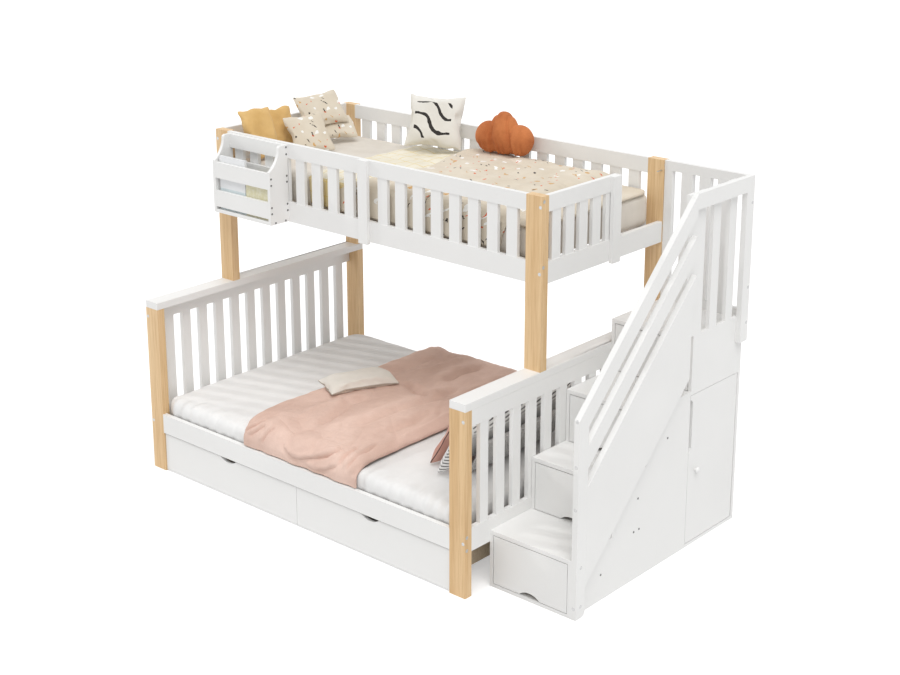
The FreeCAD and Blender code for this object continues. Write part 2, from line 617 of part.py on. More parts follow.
def bolt(point, direction, length):
    """A flush cylinder-head bolt; its hole is cut from whatever it passes through."""
    head = cylinder(BOLT_HEAD, BOLT_HEAD_DEPTH, point, direction)
    bolts.append(head.fuse(cylinder(BOLT_SHANK, length, point, direction)).removeSplitter())
    holes.append(cylinder(BOLT_HEAD + HEAD_CLEARANCE, BOLT_HEAD_DEPTH, point, direction))
    holes.append(cylinder(BOLT_SHANK + SHANK_CLEARANCE, length + SHANK_CLEARANCE, point, direction))


def upright_pin(radius, point, length, group):
    """A plain pin, hidden in a slightly wider and longer hole."""
    group.append(cylinder(radius, length, point, Z_AXIS))
    hole_start = point - Z_AXIS * SHANK_CLEARANCE
    holes.append(cylinder(radius + SHANK_CLEARANCE, length + SHANK_CLEARANCE * 2, hole_start, Z_AXIS))


def hinge_pins():
    """One pin from the cabinet base into the door's foot, one from the side panel into its top."""
    low = FreeCAD.Vector(HINGE[0], HINGE[1], STAIR_BASE - PIN_IN_FRAME)
    high = FreeCAD.Vector(HINGE[0], HINGE[1], DOOR_Z[1] - PIN_IN_DOOR)
    upright_pin(PIN_RADIUS, low, PIN_IN_FRAME + GAP + PIN_IN_DOOR, pins)
    upright_pin(PIN_RADIUS, high, PIN_IN_DOOR + DOOR_TOP_GAP + PIN_IN_FRAME, pins)


def post_bolts(y_out, y_dir, side_board_y, post_depth, end_zs, side_zs):
    """Both left and right posts at one side: bolts into the end rails, then into the side rail."""
    for x_out, x_dir in ((0.0, 1), (BED_LENGTH, -1)):
        for z in end_zs:
            start = FreeCAD.Vector(x_out + BOARD / 2 * x_dir, y_out, z)
            bolt(start, Y_AXIS * y_dir, post_depth + IN_RAIL)
        for z in side_zs:
            start = FreeCAD.Vector(x_out, side_board_y, z)
            bolt(start, X_AXIS * x_dir, POST_X + IN_RAIL)


def frame_bolts():
    middle = BOARD / 2
    post_bolts(0.0, 1, middle, LOWER_POST_Y, END_RAIL_BOLT_Z, SIDE_RAIL_BOLT_Z)
    post_bolts(BED_WIDTH, -1, BED_WIDTH - middle, LOWER_POST_Y, END_RAIL_BOLT_Z, SIDE_RAIL_BOLT_Z)
    post_bolts(UPPER_FRONT, 1, UPPER_FRONT + middle, UPPER_POST_Y, UPPER_END_BOLT_Z, UPPER_SIDE_BOLT_Z)
    back_rail = UPPER_BACK_RAIL_Y[0] + middle
    post_bolts(BED_WIDTH, -1, back_rail, UPPER_POST_Y, UPPER_END_BOLT_Z, UPPER_SIDE_BOLT_Z)
    pin_start = LOWER_POST_TOP - DOWEL_DEPTH
    pin_length = DOWEL_DEPTH * 2 + CAP_TOP - LOWER_POST_TOP
    for x in (BOARD / 2, BED_LENGTH - BOARD / 2):
        for low in (UPPER_FRONT, BACK_POST_UPPER_Y[0]):
            start = FreeCAD.Vector(x, low + UPPER_POST_Y / 2, pin_start)
            upright_pin(DOWEL_RADIUS, start, pin_length, bolts)


def drill_holes():
    """Cut every bolt and pin hole from whatever it meets."""
    for solids in nodes.values():
        for i, solid in enumerate(solids):
            met = [hole for hole in holes if solid.BoundBox.intersect(hole.BoundBox)]
            if met:
                solids[i] = solid.cut(met)
    node("bolts", bolts)
    node("hinge_pins", pins)


def screw_cap(point, direction):
    return cylinder(SCREW_HEAD, SCREW_HEAD_DEPTH, point, direction)


SHELF_REAR_SCREWS = (1679.0, 1644.0, 1536.0, 1506.0, 1394.0, 1361.0)
SHELF_FRONT_SCREWS = (1536.0, 1504.0, 1392.0, 1361.0)
SHELF_FLOOR_SCREWS = (410.0, 476.0)
STILE_FACE_BOLTS = (896.0, 695.0, 505.0, 51.0)
STILE_SIDE_BOLTS = ((197.0, 236.0), (200.0, 53.0))
PANEL_SCREWS = ((856.0, 602.0), (640.0, 387.0), (615.0, 235.0), (655.0, 236.0), (376.0, 123.0))
CORNER_POST_BOLTS = (1570.0, 1170.0, 1000.0)
STILE_BOLT = 26.0
SHORT_OF_FACE = 4.0
POST_BOLT_FROM_BACK = 13.0


def screws():
    """Low screw caps, seated on the faces that they hold."""
    caps = []
    for x, out in ((SHELF_X[1], 1), (SHELF_X[0], -1)):
        places = [(SHELF_REAR - SHELF_BOARD / 2, z) for z in SHELF_REAR_SCREWS]
        places += [(SHELF_FRONT + SHELF_BOARD / 2, z) for z in SHELF_FRONT_SCREWS]
        places += [(y, SHELF_BOTTOM + SHELF_FLOOR_THICK / 2) for y in SHELF_FLOOR_SCREWS]
        caps += [screw_cap(FreeCAD.Vector(x, y, z), X_AXIS * out) for y, z in places]
    for y, z in PANEL_SCREWS:
        caps.append(screw_cap(FreeCAD.Vector(STAIR_X1, y, z), X_AXIS))
    node("screws", caps)


def handrail_bolts():
    middle = (HANDRAIL_X[0] + HANDRAIL_X[1]) / 2
    for z in STILE_FACE_BOLTS:
        bolt(FreeCAD.Vector(middle, STILE_Y[0], z), Y_AXIS, STILE_BOLT)
    layer = HANDRAIL_X[1] - HANDRAIL_X[0]
    for y, z in STILE_SIDE_BOLTS:
        bolt(FreeCAD.Vector(TOTAL_LENGTH, y, z), X_AXIS * -1, layer + PANEL - SHORT_OF_FACE)
    for z in CORNER_POST_BOLTS:
        start = FreeCAD.Vector(TOTAL_LENGTH, STAIR_BACK - POST_BOLT_FROM_BACK, z)
        bolt(start, X_AXIS * -1, layer - SHORT_OF_FACE)


# ---------------------------------------------------------------- bedding

MATTRESS_X = (60.0, 2060.0)
LOWER_MATTRESS_Y = (30.0, 1428.0)
UPPER_MATTRESS_Y = (548.0, 1410.0)
MATTRESS_CORNER = 85.0
MATTRESS_EDGE = 22.0
LOWER_MATTRESS_TOP = 385.0
UPPER_MATTRESS_TOP = 1538.0
REST = 0.3


def mattress(y, z):
    """A box with round upright corners and soft top and bottom edges."""
    body = block(MATTRESS_X, y, z)
    upright = [e for e in body.Edges if abs(e.tangentAt(e.FirstParameter).z) > 0.9]
    body = body.makeFillet(MATTRESS_CORNER, upright)
    flat = [e for e in body.Edges if e.BoundBox.ZLength < 0.01]
    return body.makeFillet(MATTRESS_EDGE, flat)


def section(points_and_arcs):
    """A closed wire from a list of lines (a, b) and arcs (a, mid, b)."""
    edges = []
    for item in points_and_arcs:
        if len(item) == 2:
            edges.append(Part.LineSegment(item[0], item[1]).toShape())
        else:
            edges.append(Part.Arc(item[0], item[1], item[2]).toShape())
    return Part.Wire(edges)


# Blanket on the lower bed: x of the section, height of its crown over the mattress
BLANKET_SECTIONS = ((640.0, 18.0), (710.0, 40.0), (860.0, 52.0), (1120.0, 48.0), (1350.0, 40.0), (1462.0, 16.0))
BLANKET_FRONT = 6.0
BLANKET_HEM = 312.0
BLANKET_ROLL_TOP = 380.0
BLANKET_BACK = 1424.0
BLANKET_CORNER = ((630.0, 0.0), (700.0, 0.0), (636.0, 180.0), (630.0, 180.0))


def blanket():
    """Lies across the bed, crowned, with a rolled front that hangs over the mattress edge."""
    wires = []
    for x, crown in BLANKET_SECTIONS:
        def at(y, z):
            return FreeCAD.Vector(x, y, z)
        rest = LOWER_MATTRESS_TOP + REST
        inner = LOWER_MATTRESS_Y[0] - REST
        hem_in = at(inner, BLANKET_HEM)
        hem_out = at(BLANKET_FRONT, BLANKET_HEM)
        roll = at(BLANKET_FRONT, BLANKET_ROLL_TOP)
        roll_middle = at(BLANKET_FRONT + 16, (BLANKET_ROLL_TOP + rest + crown) / 2 + 8)
        front_top = at(60, rest + crown)
        middle = at(700, rest + crown * 0.9)
        back_top = at(BLANKET_BACK - 60, rest + crown)
        back = at(BLANKET_BACK, rest + 6)
        wires.append(section([
            (at(inner, rest), hem_in),
            (hem_in, hem_out),
            (hem_out, roll),
            (roll, roll_middle, front_top),
            (front_top, at(380, rest + crown * 1.15), middle),
            (middle, at(1060, rest + crown * 1.1), back_top),
            (back_top, at(BLANKET_BACK - 14, rest + crown * 0.7), back),
            (back, at(BLANKET_BACK, rest)),
            (at(BLANKET_BACK, rest), at(inner, rest)),
        ]))
    body = Part.makeLoft(wires, True, False)
    corner = [FreeCAD.Vector(x, y, 0) for x, y in BLANKET_CORNER]
    corner.append(corner[0])
    return body.cut(Part.Face(Part.makePolygon(corner)).extrude(Z_AXIS * TOP)).Solids[0]


# Duvet on the upper bed: y of the section, x where the folded lining starts, x where the full part starts
DUVET_SECTIONS = ((547.0, 640.0, 1156.0, 34.0), (640.0, 600.0, 1128.0, 60.0), (900.0, 578.0, 1050.0, 68.0),
                  (1160.0, 577.0, 972.0, 66.0), (1330.0, 583.0, 921.0, 58.0), (1404.0, 590.0, 900.0, 50.0))
DUVET_END_X = 2066.0
DUVET_RIM = 8.0
LINING_THICK = 0.42
DUVET_FLAP_X = (650.0, 1890.0)
DUVET_FLAP_Y = (527.0, 547.5)
DUVET_FLAP_Z = (1402.0, UPPER_MATTRESS_TOP + 8.0)


def duvet():
    """Crowned over the right part, down over the mattress front, its lining folded back."""
    wires = []
    for y, lining_x, full_x, crown in DUVET_SECTIONS:
        def at(x, z):
            return FreeCAD.Vector(x, y, z)
        rest = UPPER_MATTRESS_TOP + REST
        low = crown * LINING_THICK
        wires.append(section([
            (at(lining_x, rest), at(lining_x, rest + low * 0.5)),
            (at(lining_x, rest + low * 0.5), at(lining_x + 60, rest + low)),
            (at(lining_x + 60, rest + low), at((lining_x + full_x) / 2, rest + low * 1.1), at(full_x, rest + low)),
            (at(full_x, rest + low), at(full_x + 30, rest + crown * 0.9), at(full_x + 110, rest + crown)),
            (at(full_x + 110, rest + crown), at(1650, rest + crown * 1.1), at(2020, rest + crown * 0.8)),
            (at(2020, rest + crown * 0.8), at(2052, rest + crown * 0.5), at(DUVET_END_X, rest + DUVET_RIM)),
            (at(DUVET_END_X, rest + DUVET_RIM), at(DUVET_END_X, rest)),
            (at(DUVET_END_X, rest), at(lining_x, rest)),
        ]))
    flap = block(DUVET_FLAP_X, DUVET_FLAP_Y, DUVET_FLAP_Z)
    return Part.makeLoft(wires, True, False).fuse(flap).removeSplitter().Solids[0]


# Throw pillows: centre, the way that the face looks in plan, lean back, turn in its own plane, size
PILLOW_STATIONS = ((-1.0, 0.10), (-0.93, 0.30), (-0.72, 0.66), (-0.38, 0.93), (0.0, 1.0),
                   (0.38, 0.93), (0.72, 0.66), (0.93, 0.30), (1.0, 0.10))
PILLOW_DRAW_IN = 0.045


def pillow(centre, yaw, lean, turn, size):
    """Crowned square cushion whose sides draw in between its corners."""
    width, height, thick = size
    wires = []
    for place, fullness in PILLOW_STATIONS:
        across = place * width / 2
        half = height / 2
        bulge = thick / 2 * fullness
        low = FreeCAD.Vector(across, -half, 0)
        high = FreeCAD.Vector(across, half, 0)
        front = FreeCAD.Vector(across, 0, bulge)
        back = FreeCAD.Vector(across, 0, -bulge)
        wires.append(section([(low, front, high), (high, back, low)]))
    body = Part.makeLoft(wires, True, False)
    dx = width * PILLOW_DRAW_IN
    dy = height * PILLOW_DRAW_IN
    w = width / 2
    h = height / 2
    depth = FreeCAD.Vector(0, 0, -thick)
    corners = [FreeCAD.Vector(x, y, -thick) for x, y in ((-w, -h), (w, -h), (w, h), (-w, h))]
    middles = [FreeCAD.Vector(x, y, -thick) for x, y in ((0, dy - h), (w - dx, 0), (0, h - dy), (dx - w, 0))]
    sides = [Part.Arc(corners[i], middles[i], corners[(i + 1) % 4]).toShape() for i in range(4)]
    outline = Part.Face(Part.Wire(sides)).extrude(depth * -2)
    body = body.common(outline)
    body.rotate(FreeCAD.Vector(0, 0, 0), Z_AXIS, turn)
    body.rotate(FreeCAD.Vector(0, 0, 0), X_AXIS, 90 - lean)
    body.rotate(FreeCAD.Vector(0, 0, 0), Z_AXIS, yaw + 90)
    body.translate(FreeCAD.Vector(*centre))
    return body.Solids[0]


# Each pillow: centre, way it faces in plan, lean back, turn in its own plane, (width, height, thickness)
PLAIN_PILLOWS = (
    ((165.0, 652.0, 1668.0), -4.0, 22.0, 1.0, (200.0, 268.0, 74.0)),
    ((98.0, 852.0, 1655.0), -4.0, 22.0, 0.0, (190.0, 229.0, 66.0)),
)
PRINTED_PILLOWS = (
    ((127.0, 1121.0, 1719.0), -10.0, 38.0, 3.0, (275.0, 202.0, 50.0)),
    ((246.0, 918.0, 1636.0), -18.0, 38.0, 3.0, (228.0, 226.0, 60.0)),
    ((172.0, 1189.0, 1620.0), -12.0, 50.0, -6.0, (222.0, 156.0, 50.0)),
)
SQUARE_CUSHIONS = (
    ((787.0, 1299.0, 1714.0), -68.5, 22.0, 0.0, (308.0, 280.0, 92.0)),
    ((782.0, 718.0, 476.0), -23.0, 88.0, 0.0, (375.0, 228.0, 60.0)),
)
FOOT_CUSHIONS = (
    ((1722.0, 545.0, 525.0), 180.0, 30.0, 0.0, (490.0, 300.0, 76.0)),
    ((1722.0, 1030.0, 525.0), 180.0, 30.0, 0.0, (460.0, 300.0, 76.0)),
    ((1818.0, 655.0, 525.0), 180.0, 30.0, 0.0, (850.0, 300.0, 76.0)),
    ((1886.0, 655.0, 478.0), 180.0, 30.0, 0.0, (620.0, 200.0, 70.0)),
)

# Three-lobed cushion: each lobe's place along the cushion, rise, half width, half height
LOBED_CENTRE = (1222.0, 1329.0)
LOBED_BASE = 1608.0
LOBED_YAW = 10.0
LOBES = ((0.0, 100.0, 84.0, 116.0), (-84.0, 76.0, 80.0, 84.0), (92.0, 72.0, 78.0, 84.0))
LOBE_DEPTH = 0.82


def lobe(along, rise, half_width, half_height):
    """An egg-shaped lobe, as a loft of round sections cut off at the base."""
    wires = []
    for place in (-0.97, -0.85, -0.6, -0.3, 0.0, 0.3, 0.6, 0.85, 0.97):
        share = math.sqrt(1 - place * place)
        deep = half_width * LOBE_DEPTH * share
        tall = half_height * share
        x = along + place * half_width
        low = FreeCAD.Vector(x, 0, rise - tall)
        high = FreeCAD.Vector(x, 0, rise + tall)
        near = FreeCAD.Vector(x, -deep, rise)
        far = FreeCAD.Vector(x, deep, rise)
        wires.append(section([(low, near, high), (high, far, low)]))
    body = Part.makeLoft(wires, True, False)
    above = Part.makeBox(800, 800, 400, FreeCAD.Vector(-400, -400, 0))
    return body.common(above).Solids[0]


def lobed_cushion():
    """Middle lobe whole, the outer two cut where they press against it."""
    lobes = [lobe(*numbers) for numbers in LOBES]
    solids = [lobes[0]] + [outer.cut(lobes[0]).Solids[0] for outer in lobes[1:]]
    for solid in solids:
        solid.rotate(FreeCAD.Vector(0, 0, 0), Z_AXIS, LOBED_YAW)
        solid.translate(FreeCAD.Vector(LOBED_CENTRE[0], LOBED_CENTRE[1], LOBED_BASE))
    return solids


def bedding():
    node("mattress_lower", [mattress(LOWER_MATTRESS_Y, (LOWER_BASE_TOP, LOWER_MATTRESS_TOP))])
    node("mattress_upper", [mattress(UPPER_MATTRESS_Y, (UPPER_BASE_TOP, UPPER_MATTRESS_TOP))])
    node("blanket_lower", [blanket()])
    node("duvet_upper", [duvet()])
    node("pillows_plain", [pillow(*numbers) for numbers in PLAIN_PILLOWS])
    node("pillows_printed", [pillow(*numbers) for numbers in PRINTED_PILLOWS])
    node("cushions_square", [pillow(*numbers) for numbers in SQUARE_CUSHIONS])
    node("cushions_foot", [pillow(*numbers) for numbers in FOOT_CUSHIONS])
    node("cushion_lobed", lobed_cushion())


lower_posts()
lower_frame()
bed_bases()
upper_posts()
upper_guards()
book_shelf()
stair_sides()
stair_treads()
stair_boards()
stair_drawers()
cabinet_door()
door_knob()
handrail()
landing_guards()
bed_drawers()
frame_bolts()
handrail_bolts()
hinge_pins()
drill_holes()
screws()
bedding()

os.makedirs("parts", exist_ok=True)
for name, solids in nodes.items():
    shape = Part.makeCompound(solids) if len(solids) > 1 else solids[0].copy()
    shape.translate(TO_ORIGIN)
    shape.exportStep("parts/" + name + ".step")
    print(name, len(solids), shape.isValid(), round(shape.Volume / 1e6, 3))
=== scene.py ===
import bpy
import bmesh
import math
from mathutils import Matrix, Vector, noise


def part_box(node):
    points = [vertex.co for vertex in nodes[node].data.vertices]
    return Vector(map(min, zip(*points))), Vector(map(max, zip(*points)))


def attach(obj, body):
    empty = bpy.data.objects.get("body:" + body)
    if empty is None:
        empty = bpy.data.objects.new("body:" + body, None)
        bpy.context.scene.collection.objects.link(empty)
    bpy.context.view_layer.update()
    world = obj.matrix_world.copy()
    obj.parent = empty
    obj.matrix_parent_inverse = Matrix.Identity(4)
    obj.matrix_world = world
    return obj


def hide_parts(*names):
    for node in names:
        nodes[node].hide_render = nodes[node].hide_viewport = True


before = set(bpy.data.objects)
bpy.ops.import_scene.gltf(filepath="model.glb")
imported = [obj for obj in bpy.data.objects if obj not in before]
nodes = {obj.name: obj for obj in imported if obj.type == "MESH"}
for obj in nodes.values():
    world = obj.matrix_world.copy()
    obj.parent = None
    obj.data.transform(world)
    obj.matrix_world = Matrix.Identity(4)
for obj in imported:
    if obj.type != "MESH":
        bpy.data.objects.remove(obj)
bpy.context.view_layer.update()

# Left and front sides of the footprint, in metres from its middle, as in the source
LEFT = -1.295
FRONT = -0.729


def place(x, y, z):
    """A point given in millimetres from the bed's left, front, bottom corner."""
    return Vector((LEFT + x / 1000, FRONT + y / 1000, z / 1000))


# ---------------------------------------------------------------- node helpers

class Finish:
    """A material with one Principled shader, and short ways to add the nodes that feed it."""

    def __init__(self, name, roughness=0.5, **sockets):
        self.material = bpy.data.materials.new(name)
        self.material.use_nodes = True
        self.tree = self.material.node_tree
        self.shader = self.tree.nodes["Principled BSDF"]
        self.shader.inputs["Roughness"].default_value = roughness
        for socket, value in sockets.items():
            self.shader.inputs[socket.replace("_", " ")].default_value = value

    def add(self, kind, **settings):
        made = self.tree.nodes.new(kind)
        for key, value in settings.items():
            setattr(made, key, value)
        return made

    def link(self, source, target):
        self.tree.links.new(source, target)

    def where(self, scale=(1, 1, 1), turn=(0, 0, 0), uv=False):
        """Places on the piece, stretched and turned: object coordinates, or its own UV map in metres."""
        coordinates = self.add("ShaderNodeTexCoord")
        mapping = self.add("ShaderNodeMapping")
        mapping.inputs["Scale"].default_value = scale
        mapping.inputs["Rotation"].default_value = turn
        self.link(coordinates.outputs["UV" if uv else "Object"], mapping.inputs["Vector"])
        return mapping.outputs["Vector"]

    def noise(self, where, scale, detail=3.0, roughness=0.55):
        made = self.add("ShaderNodeTexNoise")
        made.inputs["Scale"].default_value = scale
        made.inputs["Detail"].default_value = detail
        made.inputs["Roughness"].default_value = roughness
        self.link(where, made.inputs["Vector"])
        return made.outputs["Fac"]

    def ramp(self, value, stops, constant=False):
        made = self.add("ShaderNodeValToRGB")
        if constant:
            made.color_ramp.interpolation = "CONSTANT"
        elements = made.color_ramp.elements
        while len(elements) < len(stops):
            elements.new(0.5)
        for element, (position, colour) in zip(elements, stops):
            element.position = position
            element.color = colour if len(colour) == 4 else (*colour, 1)
        self.link(value, made.inputs["Fac"])
        return made.outputs["Color"]

    def maths(self, operation, a, b=None, clamp=False):
        made = self.add("ShaderNodeMath", operation=operation, use_clamp=clamp)
        for socket, value in zip(made.inputs, (a, b)):
            if value is None:
                continue
            if isinstance(value, (int, float)):
                socket.default_value = value
            else:
                self.link(value, socket)
        return made.outputs["Value"]

    def mix(self, share, a, b, blend="MIX"):
        made = self.add("ShaderNodeMix", data_type="RGBA", blend_type=blend)
        for socket, value in zip((made.inputs[0], made.inputs[6], made.inputs[7]), (share, a, b)):
            if isinstance(value, (int, float)):
                socket.default_value = value
            elif isinstance(value, tuple):
                socket.default_value = (*value, 1)
            else:
                self.link(value, socket)
        return made.outputs[2]

    def parts(self, vector):
        made = self.add("ShaderNodeSeparateXYZ")
        self.link(vector, made.inputs["Vector"])
        return made.outputs["X"], made.outputs["Y"], made.outputs["Z"]

    def colour(self, value):
        self.link(value, self.shader.inputs["Base Color"])

    def rough(self, value, low, high):
        ranged = self.add("ShaderNodeMapRange")
        ranged.inputs["To Min"].default_value = low
        ranged.inputs["To Max"].default_value = high
        self.link(value, ranged.inputs["Value"])
        self.link(ranged.outputs["Result"], self.shader.inputs["Roughness"])

    def bump(self, height, strength, distance):
        made = self.add("ShaderNodeBump")
        made.inputs["Strength"].default_value = strength
        made.inputs["Distance"].default_value = distance
        self.link(height, made.inputs["Height"])
        if self.shader.inputs["Normal"].is_linked:
            self.link(self.shader.inputs["Normal"].links[0].from_socket, made.inputs["Normal"])
        self.link(made.outputs["Normal"], self.shader.inputs["Normal"])


WHITE = (0.815, 0.812, 0.80)
PINE_LIGHT = (0.80, 0.58, 0.335)
PINE_DARK = (0.68, 0.45, 0.225)
DRAWER_FRONT_DEPTH = 0.0185
SECOND_BOOK_X = LEFT + 0.331
BOOK_BAND_TOP = 1.43
# How far noise is squeezed across the grain, for wood that runs along each axis
GRAIN_ALONG = {"x": (0.9, 30.0, 30.0), "y": (30.0, 0.9, 30.0), "z": (30.0, 30.0, 0.9)}


# ---------------------------------------------------------------- wood, metal and plastic finishes

def white_paint(name, along):
    """Satin white paint on boards, with the grain just felt under it."""
    f = Finish(name, 0.42)
    grain = f.noise(f.where(GRAIN_ALONG[along]), 3.0, 4.0)
    cloud = f.noise(f.where(), 2.2, 2.0)
    f.colour(f.ramp(cloud, [(0.3, (0.80, 0.797, 0.785)), (0.7, (0.83, 0.827, 0.815))]))
    f.rough(grain, 0.36, 0.5)
    f.bump(grain, 0.10, 0.0006)
    return f.material


def lacquered_pine(name, along, light, dark):
    """Clear-lacquered pine: long grain lines, broad bands and a few darker streaks."""
    f = Finish(name, 0.45)
    turned = f.where(GRAIN_ALONG[along])
    fine = f.noise(turned, 5.0, 6.0, 0.65)
    broad = f.noise(f.where(tuple(v / 4 for v in GRAIN_ALONG[along])), 2.6, 2.0)
    base = f.ramp(broad, [(0.30, dark), (0.66, light)])
    lines = f.ramp(fine, [(0.36, (0.80, 0.72, 0.62)), (0.56, (1, 1, 1))])
    f.colour(f.mix(0.7, base, lines, "MULTIPLY"))
    f.rough(fine, 0.38, 0.55)
    f.bump(fine, 0.25, 0.0004)
    return f.material


def drawer_finish(name, front_depth):
    """White paint on the drawer's front, pale lacquered ply on the box behind it."""
    f = Finish(name, 0.45)
    _, y, _ = f.parts(f.where())
    behind = f.maths("GREATER_THAN", y, front_depth)
    grain = f.noise(f.where(GRAIN_ALONG["x"]), 3.0, 4.0)
    ply = f.ramp(grain, [(0.3, (0.66, 0.52, 0.36)), (0.65, (0.78, 0.66, 0.49))])
    f.colour(f.mix(behind, WHITE, ply))
    f.rough(grain, 0.38, 0.5)
    f.bump(grain, 0.12, 0.0005)
    return f.material


def zinc_plated(name, value):
    f = Finish(name, 0.35, Metallic=1.0)
    cloud = f.noise(f.where(), 240.0, 3.0)
    f.colour(f.ramp(cloud, [(0.35, (value * 0.8,) * 3), (0.65, (value * 1.1,) * 3)]))
    f.rough(cloud, 0.28, 0.48)
    return f.material


def moulded_black(name):
    f = Finish(name, 0.55)
    speck = f.noise(f.where(), 900.0, 2.0)
    f.colour(f.ramp(speck, [(0.3, (0.018, 0.018, 0.02)), (0.7, (0.03, 0.03, 0.032))]))
    f.bump(speck, 0.3, 0.0002)
    return f.material


def printed_card(name):
    """Plain book covers: the wider one off-white with a pale band, the other soft olive and cream."""
    f = Finish(name, 0.4)
    x, _, z = f.parts(f.where())
    second = f.maths("GREATER_THAN", x, SECOND_BOOK_X)
    band = f.maths("LESS_THAN", z, BOOK_BAND_TOP)
    first = f.mix(band, (0.78, 0.79, 0.80), (0.62, 0.70, 0.72))
    fibre = f.noise(f.where(), 60.0, 4.0)
    other = f.ramp(fibre, [(0.42, (0.66, 0.62, 0.40)), (0.58, (0.72, 0.69, 0.52))])
    f.colour(f.mix(second, first, other))
    f.bump(fibre, 0.1, 0.0003)
    return f.material


def finish_wood_and_metal():
    white_upright = white_paint("white_paint_upright", "z")
    white_long = white_paint("white_paint_long", "x")
    white_across = white_paint("white_paint_across", "y")
    post = lacquered_pine("pine_post", "z", PINE_LIGHT, PINE_DARK)
    bare = lacquered_pine("pine_slat", "y", (0.74, 0.56, 0.36), (0.64, 0.45, 0.26))
    strip = lacquered_pine("pine_strip", "x", (0.70, 0.54, 0.36), (0.60, 0.42, 0.25))
    steel = zinc_plated("zinc_plated", 0.62)
    dark_steel = zinc_plated("screw_steel", 0.20)
    choices = {
        "headboard": white_upright, "footboard": white_upright, "end_caps": white_across,
        "stair_inner_panel": white_upright, "stair_outer_panel": white_upright,
        "stair_treads": white_across, "handrail_stile": white_upright, "handrail_boards": white_across,
        "handrail_infill": white_across, "landing_side_guard": white_upright,
        "landing_rear_guard": white_upright, "guard_left": white_upright, "guard_right": white_upright,
        "book_shelf_sides": white_upright, "cabinet_door": white_upright,
        "lower_bed_slats": bare, "upper_bed_slats": bare, "drawer_runners": strip,
        "bolts": steel, "screws": dark_steel, "hinge_pins": steel,
        "door_knob": white_upright, "books": printed_card("book_covers"),
    }
    wheels = moulded_black("wheel_black")
    for name, item in nodes.items():
        material = choices.get(name, white_long)
        if "_post_" in name:
            material = post
        if name.endswith("_wheels"):
            material = wheels
        if name.endswith("_forks"):
            material = steel
        if name.startswith(("bed_drawer", "stair_drawer")):
            material = drawer_finish(name + "_finish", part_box(name)[0].y + DRAWER_FRONT_DEPTH)
        item.data.materials.clear()
        item.data.materials.append(material)


EDGE_ROUND = 0.0016
EDGE_ANGLE = math.radians(40)
WELD_REACH = 0.00002
# Posts are left out: eased edges would leave shading lines round their bolt holes
ROUND_EDGED = ("board", "cap", "rail", "guard", "batten", "panel", "tread", "stile", "infill",
               "drawer_left", "drawer_right", "stair_drawer", "cabinet_door", "shelf")


def soften_edges():
    """Eased edges on the wooden pieces, as sanding leaves them."""
    for name, item in nodes.items():
        if not any(word in name for word in ROUND_EDGED) or name.endswith(("_forks", "_wheels")):
            continue
        weld = item.modifiers.new("weld", "WELD")
        weld.merge_threshold = WELD_REACH
        bevel = item.modifiers.new("eased_edges", "BEVEL")
        bevel.width = EDGE_ROUND
        bevel.segments = 2
        bevel.limit_method = "ANGLE"
        bevel.angle_limit = EDGE_ANGLE
        bevel.harden_normals = True
        bevel.use_clamp_overlap = True


# ---------------------------------------------------------------- cloth finishes

WEAVE_PITCH = 0.0022
WEAVE_DEPTH = 0.0004


def weave_bump(f):
    """Over-and-under threads on the piece's own UV map, which is in metres."""
    u, v, _ = f.parts(f.where((1 / WEAVE_PITCH, 1 / WEAVE_PITCH, 1), uv=True))
    across = f.maths("SINE", f.maths("MULTIPLY", u, math.tau))
    down = f.maths("SINE", f.maths("MULTIPLY", v, math.tau))
    f.bump(f.maths("MULTIPLY", across, down), 0.25, WEAVE_DEPTH)


def plain_cotton(name, low, high, uv=True):
    """Washed cotton: soft clouding, faint slubs and, on a piece with its own UV map, a weave."""
    f = Finish(name, 0.88, Sheen_Weight=0.12, Sheen_Roughness=0.5)
    cloud = f.noise(f.where((7, 7, 7)), 1.0, 4.0)
    f.colour(f.ramp(cloud, [(0.35, low), (0.68, high)]))
    slub = f.noise(f.where((60, 900, 60), uv=uv), 1.0, 2.0)
    f.bump(slub, 0.08, 0.0005)
    if uv:
        weave_bump(f)
    return f


def ground_of(f):
    """What feeds a fabric's colour so far, for a print to be laid over it."""
    return f.shader.inputs["Base Color"].links[0].from_socket


def short_pile(name, low, high, patch=5.0):
    """Velvety pile, brushed lighter and darker in patches, with painted shade in fine specks where the pile
    dips.
    """
    f = Finish(name, 0.95, Sheen_Weight=0.35, Sheen_Roughness=0.35, Sheen_Tint=(*high, 1))
    brushed = f.noise(f.where((patch, patch * 0.5, patch)), 1.0, 5.0, 0.6)
    speck = f.noise(f.where((420, 420, 420)), 1.0, 2.0)
    base = f.ramp(brushed, [(0.36, low), (0.66, high)])
    # Painted shade: fine specks darkened where the bump from the same noise sinks
    painted_shade = f.ramp(speck, [(0.3, (0.86, 0.86, 0.86)), (0.7, (1, 1, 1))])
    f.colour(f.mix(1.0, base, painted_shade, "MULTIPLY"))
    f.bump(speck, 0.5, 0.0012)
    return f


